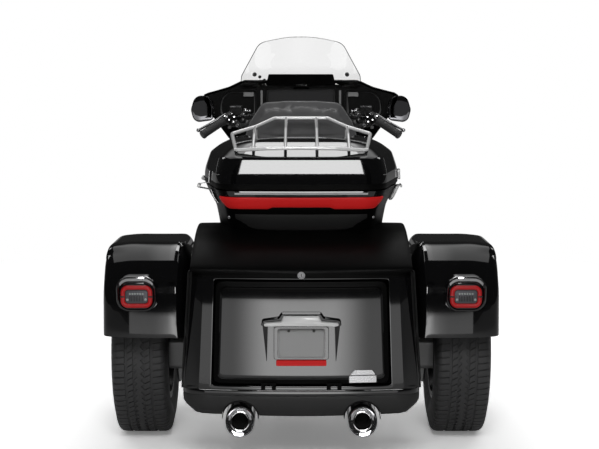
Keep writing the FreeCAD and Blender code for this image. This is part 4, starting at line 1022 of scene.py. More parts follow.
# The lid's band below 972 mm takes the dull black: painted shade that keeps its lower rounding from shining.
repaint(lid_shell, 2, lambda c: c.z < 0.972)
seal_rows = [plan_ring(950.9, 343, -384, 84), plan_ring(948.6, 342, -383, 83),
             plan_ring(948.6, 338, -379, 79), plan_ring(950.9, 337, -378, 78)]
lid_seal = build("lid_seal", [(skin(seal_rows + [seal_rows[0]], closed=True), 0)], [seal_rubber], crease=60)
stripes = []
for side in (-1, 1):
    corner = [(1052, 330), (1030, 332), (1012, 333), (1003, 331), (998.5, 325), (998, 318), (999, 300),
              (1001, 284)]
    edge_a, edge_b = [], []
    for (z0, s0), (z1, s1) in zip(corner, corner[1:]):
        run = Vector((s1 - s0, z1 - z0)).normalized() * 1.3
        for t in (0, 0.5):
            s, z = s0 + (s1 - s0) * t, z0 + (z1 - z0) * t
            edge_a.append(shell_point(lid_shape, z + run.x, side * (s - run.y), 0.5))
            edge_b.append(shell_point(lid_shape, z - run.x, side * (s + run.y), 0.5))
    stripes.append((skin([edge_a, edge_b] if side > 0 else [edge_b, edge_a]), 0))
pinstripes = build("lid_pinstripes", stripes, [stripe_grey], crease=40)
thicken(pinstripes, 0.6, 40, offset=0)
for piece in (lid_shell, lid_seal, pinstripes):
    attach(piece, "case_lid")
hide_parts("case_lid")

# ---- hinges, latch and luggage rack -------------------------------------------------------------
# The case's hinges and pull latch are plated steel, and so is the rack's bent tube, brazed together
# and screwed through four feet to the lid.
lid_pin_x, lid_pin_z, latch_y = -361.0, 948.5, -110


def side_at(sections, z, y):
    """How far out the shell's side stands at a height and a place along it."""
    line = plan_line(*between(sections, z))
    reach = 0.0
    for a, b in zip(line, line[1:]):
        if min(a.y, b.y) <= y <= max(a.y, b.y) and abs(b.y - a.y) > 1e-6:
            reach = max(reach, abs(a.x + (b.x - a.x) * (y - a.y) / (b.y - a.y)))
    return reach


def strap(y, half_length, line):
    """A bent steel leaf 2.5 mm thick that follows (x, z) points, its ends square."""
    face = [[Vector((x, y + k * half_length, z)) for k in (-1, 1)] for x, z in line]
    back = [[p + Vector((2.5, 0, 0)) for p in row] for row in face]
    loops = [[a[0], a[1], b[1], b[0]] for a, b in zip(face, back)]
    return solid(loops)


def clasp(sections, z, corners, layers, steps):
    """A plate on the shell's side at a height: (depth, share) layers of (along, up, radius) corners."""
    rows = []
    for depth, share in layers:
        ring = outline([(latch_y + u * share, z + v * share, radius) for u, v, radius in corners], steps)
        rows.append([Vector((side_at(sections, p.y, p.x) + depth, p.x, p.y)) for p in ring])
    return solid(rows)


tub_parts, lid_parts = [], []
for y in (-230, 10):
    foot = [(-side_at(case_shape, z, y) - 4, z) for z in (888, 896, 910, 924, 934)]
    head = [(-side_at(lid_shape, z, y) - 4, z) for z in (960, 968, 980, 990, 1001)]
    tub_parts.append((strap(y, 21, foot + [(lid_pin_x - 1, lid_pin_z - 6)]), 0))
    lid_parts.append((strap(y, 11, [(lid_pin_x - 1, lid_pin_z + 6)] + head), 0))
    for start in (-22, 12):
        tub_parts.append((turned([(0, 3), (0, 6), (10, 6), (10, 3)], 20, (lid_pin_x, y + start, lid_pin_z),
                                 (0, 1, 0), True, True), 0))
    tub_parts.append((turned([(-24, 2), (-23, 4), (-22, 2.4), (22, 2.4), (23, 4), (24, 2)], 16,
                              (lid_pin_x, y, lid_pin_z), (0, 1, 0), True, True), 0))
    lid_parts.append((turned([(-11.4, 2.7), (-11.4, 6), (11.4, 6), (11.4, 2.7)], 20,
                             (lid_pin_x, y, lid_pin_z), (0, 1, 0)), 0))
    for z in (900, 918):
        tub_parts.append((turned([(0, 5), (2, 5), (3.6, 3), (3.8, 0.3)], 14,
                                 (-side_at(case_shape, z, y) - 5, y - 12, z), (-1, 0, -0.3), False, True), 0))
pull = [(-36, -26, 12), (36, -26, 12), (32, 26, 8), (-32, 26, 8)]
tub_parts.append((clasp(case_shape, 910, pull, ((2, 0.90), (6, 1.0), (13, 1.0), (16, 0.94)), 5), 0))
bar_x = side_at(case_shape, 920, latch_y) + 26
tub_parts.append((turned([(0, 4.5), (56, 4.5)], 16, (bar_x, latch_y - 28, 934), (0, 1, 0), True, True), 0))
lid_parts.append((clasp(lid_shape, 976, rounded(-30, 30, -17, 17, 6), ((1, 0.92), (4, 1.0), (9, 1.0),
                                                                       (11, 0.92)), 4), 0))
# The leaves, latch and rack wear the white plated finish, a painted reflection of the bright surroundings.
tub_hardware = build("hinge_leaves_and_latch", tub_parts, [chrome_with_painted_reflection], crease=40)
lid_hardware = build("lid_leaves_and_catch", lid_parts, [chrome_with_painted_reflection], crease=40)
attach(tub_hardware, "chassis")
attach(lid_hardware, "case_lid")
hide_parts("case_hardware")
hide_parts("lid_fittings")
wear(chrome_with_painted_reflection, "luggage_rack")

# ---- passenger backrest -------------------------------------------------------------------------
# A moulded foam pad upholstered in smooth black vinyl, pulled tight over its back board, with a piped
# seam round the rim. The foam is let out by a short cloth simulation.
vinyl = finish_of("vinyl", (0.11, 0.11, 0.112), 0.38, Sheen_Weight=0.5, Sheen_Roughness=0.35, grain=0.22,
                  grain_size=520, detail=5.0, cloud=0.05, coat=0.10, coat_roughness=0.35)
thread_black = finish_of("thread_black", (0.012, 0.012, 0.012), 0.5, grain=0.3, grain_size=1500)


def puff(pad, cap, voxel=0.006, pressure=4.0):
    """Lets a closed pad swell like stuffed upholstery, no point moving further than the cap."""
    remesh = pad.modifiers.new("remesh", "REMESH")
    remesh.mode, remesh.voxel_size, remesh.use_smooth_shade = "VOXEL", voxel, True
    bake(pad)
    before = [vertex.co.copy() for vertex in pad.data.vertices]
    cloth = pad.modifiers.new("cloth", "CLOTH")
    cloth.settings.use_pressure = True
    cloth.settings.uniform_pressure_force = pressure
    cloth.settings.effector_weights.gravity = 0
    cloth.settings.quality = 4
    cloth.settings.tension_stiffness = cloth.settings.compression_stiffness = 25
    cloth.settings.bending_stiffness = 2
    cloth.point_cache.frame_start, cloth.point_cache.frame_end = 1, 20
    for step in range(1, 21):
        scene.frame_set(step)
        bpy.context.view_layer.update()
    bake(pad)
    for vertex, start in zip(pad.data.vertices, before):
        move = vertex.co - start
        if move.length > cap:
            vertex.co = start + move * (cap / move.length)
    scene.frame_set(1)
    pad.modifiers.new("smooth", "SUBSURF").levels = 1
    settle(pad, 80)


def drawn_in(ring, middle, share, y):
    """An (x, z) ring drawn in towards its middle and stood at y."""
    return [Vector((middle[0] + (p.x - middle[0]) * share, y, middle[1] + (p.y - middle[1]) * share))
            for p in ring]


def pillow(corners, middle, y, front, back, edge):
    """Points and faces of a crowned pad: an (x, z) outline that bulges ahead and behind of y."""
    ring = outline(corners, 7)
    rows = []
    for side, reach in ((-1, back), (1, front)):
        shares = [0.10, 0.30, 0.50, 0.68, 0.82, 0.92, 0.98, 1.0]
        for share in shares if side < 0 else shares[::-1]:
            depth = y + side * (edge + (reach - edge) * (1 - share ** 5) ** 0.6)
            rows.append(drawn_in(ring, middle, share, depth))
    return solid(rows)


def by_nodes(name, mesh, source, values, result, finish, crease, wire):
    """A plain mesh grown from a mesh by a Geometry Nodes tree, whose values are (name, kind, value) inputs.
    The wire function links up its nodes and gives the socket that holds the finished shape."""
    made = bpy.data.objects.new(name, mesh)
    scene.collection.objects.link(made)
    tree = bpy.data.node_groups.new(name + "_tree", "GeometryNodeTree")
    tree.interface.new_socket(source, in_out="INPUT", socket_type="NodeSocketGeometry")
    sockets = [(tree.interface.new_socket(label, in_out="INPUT", socket_type="NodeSocket" + kind), value)
               for label, kind, value in (*values, ("Finish", "Material", finish))]
    tree.interface.new_socket(result, in_out="OUTPUT", socket_type="NodeSocketGeometry")
    given, out = tree.nodes.new("NodeGroupInput"), tree.nodes.new("NodeGroupOutput")
    paint = tree.nodes.new("GeometryNodeSetMaterial")
    tree.links.new(wire(tree, given.outputs), paint.inputs["Geometry"])
    tree.links.new(given.outputs["Finish"], paint.inputs["Material"])
    tree.links.new(paint.outputs[0], out.inputs[result])
    nodes = made.modifiers.new("nodes", "NODES")
    nodes.node_group = tree
    for socket, value in sockets:
        nodes[socket.identifier] = value
    bake(made)
    form = bmesh.new()
    form.from_mesh(made.data)
    bmesh.ops.recalc_face_normals(form, faces=form.faces)
    form.to_mesh(made.data)
    form.free()
    settle(made, crease)
    return made


def cord_on(name, line, pad, radius, finish):
    """A round cord laid on a pad's surface along a line, swept with Geometry Nodes."""
    spots = [pad.closest_point_on_mesh(at(*point))[1] for point in line]
    path = bpy.data.meshes.new(name)
    path.from_pydata(spots, [(i, (i + 1) % len(spots)) for i in range(len(spots))], [])

    def wire(tree, given):
        curve, circle, sweep, real = [tree.nodes.new("GeometryNode" + kind) for kind in (
            "MeshToCurve", "CurvePrimitiveCircle", "CurveToMesh", "RealizeInstances")]
        circle.inputs["Resolution"].default_value = 8
        for start, end in ((given["Path"], curve.inputs["Mesh"]), (curve.outputs[0], sweep.inputs["Curve"]),
                           (given["Cord radius"], circle.inputs["Radius"]),
                           (circle.outputs[0], sweep.inputs["Profile Curve"]),
                           (sweep.outputs[0], real.inputs[0])):
            tree.links.new(start, end)
        return real.outputs[0]

    return by_nodes(name, path, "Path", [("Cord radius", "Float", radius / 1000)], "Cord", finish, 60, wire)


rest_outline = mirrored([(196, 856, 40), (226, 1070, 70), (200, 1150, 70), (150, 1224, 40), (60, 1232, 300)])
backrest_pad = build("backrest_pad", [(pillow(rest_outline, (0, 1030), 134, 20, 18, 12), 0)], [vinyl],
                     crease=80)
puff(backrest_pad, 0.010)
rim = [(p.x, 134, p.y)
       for p in outline(mirrored([(212, 842, 40), (243, 1072, 70), (216, 1156, 70), (162, 1240, 40),
                                  (60, 1248, 300)]), 12)]
backrest_seam = cord_on("backrest_seam", rim, backrest_pad, 2.2, thread_black)
front_panel = [(p.x, 170, p.y)
               for p in outline(mirrored([(150, 900, 40), (168, 1065, 50), (122, 1146, 60), (30, 1168, 300)]),
                                12)]
panel_seam = cord_on("backrest_panel_seam", front_panel, backrest_pad, 1.6, thread_black)
for piece in (backrest_pad, backrest_seam, panel_seam):
    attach(piece, "chassis")
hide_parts("backrest")

# ---- seat ---------------------------------------------------------------------------------------
# Two foam cushions on one pan, the rider's dished and raised at its back, the passenger's broad and
# crowned. Both are covered in the same vinyl, with piping round the top.


def cushion(stations):
    """Points and faces of a pad through (y, half width, top, bottom, dish) stations."""
    rows, squareness, count = [], 3.4, 44
    for y, half, top, bottom, dish in stations:
        row = []
        for k in range(count):
            turn = 2 * math.pi * k / count
            c, s = math.cos(turn), math.sin(turn)
            u = math.copysign(abs(c) ** (2 / squareness), c)
            v = math.copysign(abs(s) ** (2 / squareness), s)
            crown = (1 - u * u) * dish * max(v, 0)
            row.append(Vector((u * half, y, (top + bottom) / 2 + v * (top - bottom) / 2 + crown)))
        rows.append(row)
    return solid(flow(rows, 3))


rider_stations = [(474, 120, 776, 716, 0), (478, 168, 796, 700, 0), (492, 184, 800, 692, 0),
                  (512, 188, 786, 690, -2), (540, 190, 758, 688, -6), (590, 192, 736, 686, -10),
                  (650, 190, 726, 686, -8), (710, 180, 732, 690, 0), (770, 146, 748, 702, 6),
                  (830, 104, 766, 716, 8), (868, 76, 776, 730, 6), (884, 56, 776, 742, 3),
                  (889, 34, 770, 750, 0)]
rider_seat = build("rider_seat", [(cushion(rider_stations), 0)], [vinyl], crease=80)
puff(rider_seat, 0.008)
pillion_stations = [(182, 150, 790, 726, 0), (187, 186, 806, 708, 4), (204, 194, 814, 700, 8),
                    (260, 198, 816, 696, 10), (340, 200, 814, 692, 8), (410, 196, 808, 690, 8),
                    (446, 190, 802, 692, 6), (462, 180, 796, 700, 3), (467, 140, 780, 714, 0)]
pillion_seat = build("passenger_seat", [(cushion(pillion_stations), 0)], [vinyl], crease=80)
puff(pillion_seat, 0.008)
rider_line = [(p.x, p.y, 800)
              for p in outline(mirrored([(60, 872, 30), (165, 720, 90), (176, 600, 60), (170, 505, 40)]), 14)]
pillion_line = [(p.x, p.y, 830) for p in outline(mirrored([(172, 440, 40), (182, 330, 90), (176, 210, 40)]),
                                                 14)]
rider_piping = cord_on("rider_seat_piping", rider_line, rider_seat, 1.8, thread_black)
pillion_piping = cord_on("passenger_seat_piping", pillion_line, pillion_seat, 1.8, thread_black)
for piece in (rider_seat, pillion_seat, rider_piping, pillion_piping):
    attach(piece, "chassis")
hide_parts("seat")

# ---- fairing ------------------------------------------------------------------------------------
# The batwing fairing is one injection moulded shell, painted gloss black, hung on the fork with the
# handlebar passing under it. Its sloping rim is rolled, and the headlamp sits in a round hole.
dash_plastic = finish_of("dash_plastic", (0.003, 0.003, 0.003), 0.34, grain=0.12, grain_size=700, cloud=0.05,
                         ior=1.15)
fairing_shape = [(1230, [(140, 905, 50), (325, 975, 80), (408, 1085, 60), (476, 1182, 20), (330, 1219, 60),
                         (262, 1249, 40)]),
                 (1400, [(135, 885, 50), (292, 950, 80), (378, 1058, 70), (438, 1168, 20), (318, 1206, 40),
                         (255, 1238, 40)]),
                 (1560, [(125, 870, 50), (228, 912, 70), (300, 1008, 70), (294, 1112, 50), (206, 1152, 60),
                         (130, 1168, 60)]),
                 (1664, [(95, 872, 40), (150, 900, 40), (184, 964, 40), (164, 1030, 40), (118, 1064, 40),
                         (64, 1074, 40)])]


def even_loop(points, count):
    """A closed loop of 2D points as equal steps, from where it crosses the middle at the bottom."""
    low = min(range(len(points)), key=lambda i: (points[i].y, abs(points[i].x)))
    half = points[low:] + points[:low]
    start = Vector((0, half[0].y))
    half = [start] + [p for p in half if (p - start).length > 1e-6] + [start]
    if half[1].x < 0:
        half = half[::-1]
    return spread(half, [k / count for k in range(count)])


def rim_y(z, extra=0.0):
    """Where the rim stands along the trike: it leans back, and is cut forward low down to pass the tank and
    the head tube."""
    low_y, low_z, run, rise, cut_top, cut_slope = 1268, 840, 124, 460, 952, 1.75
    return low_y + extra + (z - low_z) * run / rise + max(cut_top - z, 0) * cut_slope


fairing_middle_z, around, lengthwise_steps = 1060, 120, 16


def rolled_in(line, amount):
    """The line moved in towards the fairing's middle."""
    return [p + (Vector((0, p.y, fairing_middle_z)) - p).normalized() * amount for p in line]


stations = [[Vector((p.x, y, p.y)) for p in even_loop(outline(mirrored(half), 8), around)]
            for y, half in fairing_shape]
columns = []
for line in zip(*flow(stations, 12)):
    line = list(line)
    while len(line) > 2 and line[1].y < rim_y(line[1].z):
        line.pop(0)
    a, b = line[0], line[1]
    ahead, behind = rim_y(a.z) - a.y, rim_y(b.z) - b.y
    share = ahead / max(ahead - behind, 1e-6)
    line[0] = a.lerp(b, min(max(share, 0), 1))
    columns.append(spread(line, [n / lengthwise_steps for n in range(lengthwise_steps + 1)]))
rim = [column[0] for column in columns]
rows = [list(row) for row in zip(*columns)]
lamp_turns, hole_r = [2 * math.pi * k / around for k in range(around)], 92
lamp_ring = [Vector((hole_r * math.sin(turn), 1664, 965 - hole_r * math.cos(turn))) for turn in lamp_turns]
inner = [rolled_in(row, 5) for row in reversed(rows)]
rolled = [p + Vector((0, -2.5, 0)) for p in rolled_in(rim, 2.5)]
tucked = [p + Vector((0, -16, 0)) for p in lamp_ring]
fairing = build("fairing_shell",
                [(skin([tucked] + inner + [rolled] + rows + [lamp_ring, tucked], closed=True), 0)],
                [paint_black, dash_plastic], crease=40)
for face in fairing.data.polygons:
    middle = face.center
    if face.normal.dot(Vector((0, middle.y, 1.06)) - middle) > 0 and middle.y < 0.95:
        face.material_index = 1
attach(fairing, "steering")
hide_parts("outer_fairing")

# ---- dash and speakers --------------------------------------------------------------------------
# Inside the rim is a moulded dash in satin black: a speaker pod with a perforated grille at each side,
# a raised middle panel with a glass screen, and air vents. Nothing is printed on any face.
grille_grey = finish_of("grille_grey", (0.07, 0.07, 0.07), 0.5, grain=0.8, grain_size=420)
screen_glass = finish_of("screen_glass", (0.004, 0.004, 0.005), 0.22, ior=1.12)
switch_grey = finish_of("switch_grey", (0.16, 0.16, 0.16), 0.4, grain=0.1)


def dash_face(x, z):
    return rim_y(z, 30)


def mirror_ring(side, corners):
    """Corners drawn for the right side, turned over for the left."""
    ring = [(side * u, v, radius) for u, v, radius in corners]
    return ring if side > 0 else ring[::-1]


notch_x, notch_z = 178, 1003
edge = [Vector((p.x * 0.985, 0, 1080 + (p.z - 1080) * 0.975)) for p in rim]
edge = [p for p in edge if p.z > notch_z or abs(p.x) > notch_x]
edge = [Vector((notch_x, 0, notch_z))] + [p for p in edge if p.x >= 0] + [p for p in edge if p.x < 0] \
    + [Vector((-notch_x, 0, notch_z))]
front = [Vector((p.x, dash_face(p.x, p.z), p.z)) for p in edge]
back = [p + Vector((0, 8, 0)) for p in front]
dash_parts = [(solid([front, back]), 0)]
speaker_x, speaker_z = 288, 1105
for side in (-1, 1):
    pod = mirror_ring(side, [(201, 1018, 20), (330, 1022, 50), (381, 1090, 60), (372, 1193, 66),
                             (201, 1196, 10)])
    inner = mirror_ring(side, [(208, 1026, 16), (326, 1030, 46), (370, 1092, 56), (362, 1186, 60),
                               (208, 1188, 8)])
    ring_a = [Vector((p.x, dash_face(p.x, p.y) - 1, p.y)) for p in outline(pod, 7)]
    ring_b = [p + Vector((0, -16, 0)) for p in ring_a]
    ring_c = [Vector((p.x, dash_face(p.x, p.y) - 18, p.y)) for p in outline(inner, 7)]
    ring_d = [Vector((p.x * 0.99, dash_face(p.x, p.y) + 2, p.y)) for p in outline(inner, 7)]
    dash_parts.append((skin([ring_a, ring_b, ring_c, ring_d], closed=True), 0))
    middle = side * speaker_x
    bowl = [[Vector((middle + (p.x - middle) * share, dash_face(p.x, p.y) - 3 + depth,
                     speaker_z + (p.y - speaker_z) * share)) for p in outline(inner, 7)]
            for share, depth in ((1.0, 0), (0.85, 4), (0.6, 8), (0.3, 7), (0.05, 4))]
    dash_parts.append((skin(bowl, closed=True, last_cap=True), 1))
    for size in ((214, 262, 1166, 1186, 3), (174, 183, 1120, 1194, 2)):
        key = mirror_ring(side, rounded(*size))
        dash_parts.append((raised_shape(key, dash_face, 1, 12, 2, 1), 3))
dash_parts.append((raised_shape([(-160, 1030, 14), (160, 1030, 14), (160, 1199, 10), (-160, 1199, 10)],
                                dash_face, 1, 10, 4, 3), 0))
dash_parts.append((raised_shape([(-148, 1040, 8), (148, 1040, 8), (148, 1190, 6), (-148, 1190, 6)],
                                 lambda x, z: dash_face(x, z) - 10, 0.5, 2, 3, 0.8), 2))
dash = build("dash_panel", dash_parts, [dash_plastic, grille_grey, screen_glass, switch_grey], crease=35)
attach(dash, "steering")
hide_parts("inner_fairing")

# ---- windscreen ---------------------------------------------------------------------------------
# The screen is a clear polycarbonate sheet 4.5 mm thick, formed to a curve. Rubber grommets and screws
# hold it to the fairing, and a black hinged vent sits behind its foot.
screen = bpy.data.materials.new("clear_polycarbonate")
tree, add = node_tree(screen)
spot = add("ShaderNodeSeparateXYZ", {0: add("ShaderNodeTexCoord").outputs["Object"]})
# The sheet's colour darkens towards its foot, below 1315 mm.
shade = add("ShaderNodeMapRange", {"Value": spot.outputs["Z"], "From Min": 1.255, "From Max": 1.315,
                                   "To Min": 0.82, "To Max": 0.935}, interpolation_type="SMOOTHSTEP")
tint = add("ShaderNodeCombineColor", {0: shade.outputs[0], 1: shade.outputs[0], 2: shade.outputs[0]})
glass = add("ShaderNodeBsdfPrincipled", {"Base Color": tint.outputs[0], "Roughness": 0.01, "IOR": 1.49,
                                         "Transmission Weight": 1.0})
add("ShaderNodeOutputMaterial", {"Surface": glass.outputs[0]})
rubber = finish_of("rubber", (0.012, 0.012, 0.012), 0.6, grain=0.25, grain_size=600)


def screen_point(x, z, out=0.0):
    """A point of the screen's outer face, on a cylinder of 430 mm radius that leans back 34 degrees."""
    lean, radius = math.radians(34), 430
    foot_y, foot_z = 1452 - math.cos(lean) * radius, 1215 - math.sin(lean) * radius
    root = math.sqrt((radius + out) ** 2 - x * x)
    rise = (z - foot_z - math.sin(lean) * root) / math.cos(lean)
    return Vector((x, foot_y + math.cos(lean) * root - math.sin(lean) * rise, z))


screen_ring = outline(mirrored([(200, 1206, 20), (272, 1226, 14), (268, 1264, 40), (186, 1412, 60),
                                (60, 1438, 500)]), 10)
rows = [[screen_point(p.x * share, 1320 + (p.y - 1320) * share) for p in screen_ring]
        for share in (1.0, 0.985, 0.94, 0.86, 0.74, 0.6, 0.44, 0.28, 0.12, 0.02)]
windscreen = build("windscreen_sheet", [(skin(rows, closed=True, last_cap=True), 0)], [screen], crease=50,
                   wall=4.5)
fittings = []
for x in (-210, 210):
    spot = screen_point(x, 1267, 1)
    fittings.append((turned([(-8, 8), (-4, 10), (1, 10), (4, 7), (5, 3), (5, 0.4)], 20, spot,
                            (0, -0.83, -0.56), True, True), 0))
for x, z in ((-186, 1256), (-166, 1240)):
    fittings.append((turned([(-20, 7), (4, 7), (6, 5), (6.5, 0.4)], 16, screen_point(x, z, -14), (0, -1, 0),
                            True, True), 0))
vent = [(-158, 1221, 2), (158, 1221, 2), (146, 1268, 5), (-146, 1268, 5)]
fittings.append((raised_shape(vent, lambda x, z: screen_point(x, z, -16).y, -4, 8, 3, 1.5), 1))
fittings.append((raised_shape(rounded(-140, 140, 1254, 1258, 1),
                               lambda x, z: screen_point(x, z, -16).y - 8, 0, 1.5, 2, 0.4), 2))
screen_fittings = build("windscreen_fittings", fittings, [rubber, dash_plastic, switch_grey], crease=35)
for piece in (windscreen, screen_fittings):
    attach(piece, "steering")
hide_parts("windscreen")

# ---- mirrors ------------------------------------------------------------------------------------
# Each mirror is a domed black housing on a short stalk from the fairing's edge, with a silvered glass
# set in from its rim.
mirror_glass = finish_of("mirror_glass", (0.20, 0.20, 0.21), 0.03, metallic=1.0)
for side, name in ((-1, "left"), (1, "right")):
    ring = outline([(side * u, v, r) for u, v, r in ((384, 1074, 26), (472, 1062, 32), (487, 1120, 40),
                                                     (468, 1182, 38), (406, 1182, 34),
                                                     (382, 1130, 40))][::side], 7)
    middle = Vector((side * 433, 1120))
    rows = [drawn_in(ring, middle, share, y) for share, y in (
        (0.93, 1172), (0.97, 1168.5), (1.0, 1170), (1.0, 1176), (0.985, 1186), (0.93, 1196), (0.8, 1203),
        (0.55, 1208), (0.2, 1210))]
    glass_rows = [drawn_in(ring, middle, share, y) for share, y in (
        (0.93, 1172.4), (0.90, 1172.2), (0.5, 1172.1), (0.05, 1172.1))]
    neck = [(turned([(0, 13), (20, 11), (130, 11), (150, 14)], 20, (side * 440, 1203, 1120),
                    (side * -0.198, 0.97, 0.13), True, True), 0)]
    housing = build(name + "_mirror", [(skin(rows, closed=True, last_cap=True), 0),
                                       (skin(glass_rows, closed=True, last_cap=True), 1)] + neck,
                    [paint_black, mirror_glass], crease=40)
    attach(housing, "steering")
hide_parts("mirrors")

# ---- handlebar controls -------------------------------------------------------------------------
# The grips are ribbed rubber over the bar's ends, with satin switch housings inboard of them, cast
# levers with ball ends, clamps held by screws, and a fluid reservoir on each side.
grip_rubber = finish_of("grip_rubber", (0.045, 0.045, 0.046), 0.5, grain=0.35, grain_size=500)
cast_silver = finish_of("cast_silver", (0.62, 0.62, 0.63), 0.22, metallic=1.0, cloud=0.06, grain=0.03)
for side, name in ((-1, "left"), (1, "right")):
    start, end = Vector((side * 322, 1132, 1086)), Vector((side * 425, 1072, 1020))
    run = (end - start).normalized()
    length = (end - start).length
    profile = [(22, 15), (22, 20), (28, 20.5), (32, 18)]
    for k in range(9):
        base = 34 + k * (length - 46) / 9
        profile += [(base, 18), (base + 1.2, 17.2), (base + 2.4, 18)]
    profile += [(length - 4, 18), (length - 2, 19.5), (length + 6, 19.5), (length + 9, 17), (length + 9.5, 3)]
    parts = [(turned(profile, 28, start, run, True, True), 0)]
    parts.append((turned([(-34, 20), (-32, 22), (-6, 22), (-5, 20.5), (-3, 20.5), (-2, 22), (16, 22),
                          (18, 20)], 28, start, run, True, True), 1))
    for k, (ahead, up, radius) in enumerate(((-24, 16, 5), (-12, 18, 4), (4, 16, 5), (10, 8, 4))):
        spot = start + run * ahead + Vector((0, -18, up * 0.5))
        parts.append((turned([(0, radius), (6, radius), (7.5, radius * 0.7), (7.8, 0.3)], 14, spot,
                             (0, -0.9, 0.4), False, True), 3 if k % 2 else 2))
    reservoir = plate_ring(25, 25, 1102, 1134, 6, 6, 5)
    box_rows = [[Vector((side * 287 + x, y, z)) for x, z in reservoir] for y in (1128, 1176)]
    parts.append((solid(box_rows), 1))
    lid_rows = [[Vector((side * 287 + p.x, 1152 + p.y, z)) for p in outline(rounded(-26, 26, -25, 25, 6), 4)]
                for z in (1134, 1138)]
    parts.append((solid(lid_rows), 2))
    lever = [Vector((side * 298, 1166, 1108)), Vector((side * 334, 1164, 1098)),
             Vector((side * 362, 1150, 1082)), Vector((side * 400, 1136, 1060)),
             Vector((side * 450, 1112, 1034))]
    for a, b, r0, r1 in zip(lever, lever[1:], (8, 7, 6.5, 6), (7, 6.5, 6, 5.5)):
        parts.append((turned([(0, r0), ((b - a).length + 1, r1)], 14, a, b - a, True, True), 2))
    ball = [(9 * -math.cos(math.pi * k / 10), max(9 * math.sin(math.pi * k / 10), 0.3)) for k in range(11)]
    parts.append((turned(ball, 18, lever[-1], (1, 0, 0), True, True), 2))
    for x, y, z, radius, reach, number in ((244, 1222, 1112, 9, 20, 2), (268, 1196, 1110, 8, 18, 1),
                                           (232, 1236, 1088, 10, 22, 1), (300, 1150, 1060, 12, 24, 1),
                                           (276, 1166, 1050, 8, 18, 2), (258, 1190, 1070, 14, 26, 1),
                                           (312, 1140, 1044, 7, 14, 3), (226, 1240, 1108, 5, 12, 2),
                                           (252, 1206, 1094, 6, 18, 2), (284, 1160, 1072, 6, 14, 2),
                                           (240, 1222, 1062, 8, 16, 3), (268, 1180, 1036, 7, 14, 1)):
        parts.append((turned([(0, radius), (reach, radius), (reach + 2, radius * 0.7), (reach + 2.3, 0.3)],
                             14, (side * x, y, z), (side * 0.2, -1, 0.15), True, True), number))
    for dx, dy, dz in ((-30, -22, 6), (-8, -24, -6), (12, -22, 10), (-26, -14, -16)):
        spot = start + Vector((side * dx, dy, dz))
        parts.append((turned([(0, 4), (4, 4), (4.6, 3.2), (4.6, 0.3)], 6, spot, (0, -1, 0.2), True, True), 2))
    controls = build(name + "_hand_controls", parts, [grip_rubber, satin_plastic, cast_silver, switch_grey],
                     crease=35)
    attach(controls, "steering")
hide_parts("hand_controls")
wear(powder_coat, "handlebar")

# ---- tyres --------------------------------------------------------------------------------------
# The tyres are moulded rubber on the rims. One pitch of the tread, with its shoulder blocks, two ribs
# and the zigzag rib in the middle, is moulded again and again round the carcass.
tyre_rubber = finish_of("tyre_rubber", (0.052, 0.052, 0.053), 0.48, grain=0.35, grain_size=260, cloud=0.08,
                        cloud_size=30, shift=0.15)


def round_axle(name, points, faces, place, count, finish):
    """A shape in millimetres from an axle's middle, set evenly round that axle with Geometry Nodes."""
    mesh = bpy.data.meshes.new(name)
    mesh.from_pydata([Vector(p) / 1000 for p in points], [], [tuple(dict.fromkeys(f)) for f in faces])

    def wire(tree, given):
        spots, index, copies, real, join, move = [tree.nodes.new("GeometryNode" + kind) for kind in (
            "MeshLine", "InputIndex", "InstanceOnPoints", "RealizeInstances", "MergeByDistance", "Transform")]
        angle, euler, turn = [tree.nodes.new(kind) for kind in (
            "ShaderNodeMath", "ShaderNodeCombineXYZ", "FunctionNodeEulerToRotation")]
        spots.inputs["Offset"].default_value = (0, 0, 0)
        join.inputs["Distance"].default_value = 0.00003
        angle.operation = "MULTIPLY"
        for start, end in ((given["Count"], spots.inputs["Count"]),
                           (spots.outputs[0], copies.inputs["Points"]),
                           (given["Shape"], copies.inputs["Instance"]), (index.outputs[0], angle.inputs[0]),
                           (given["Step angle"], angle.inputs[1]), (angle.outputs[0], euler.inputs["X"]),
                           (euler.outputs[0], turn.inputs[0]), (turn.outputs[0], copies.inputs["Rotation"]),
                           (copies.outputs[0], real.inputs[0]), (real.outputs[0], join.inputs["Geometry"]),
                           (join.outputs[0], move.inputs["Geometry"]),
                           (given["Axle place"], move.inputs["Translation"])):
            tree.links.new(start, end)
        return move.outputs[0]

    values = [("Count", "Int", count), ("Step angle", "Float", 2 * math.pi / count),
              ("Axle place", "Vector", at(*place))]
    return by_nodes(name, mesh, "Shape", values, "Ring", finish, 30, wire)


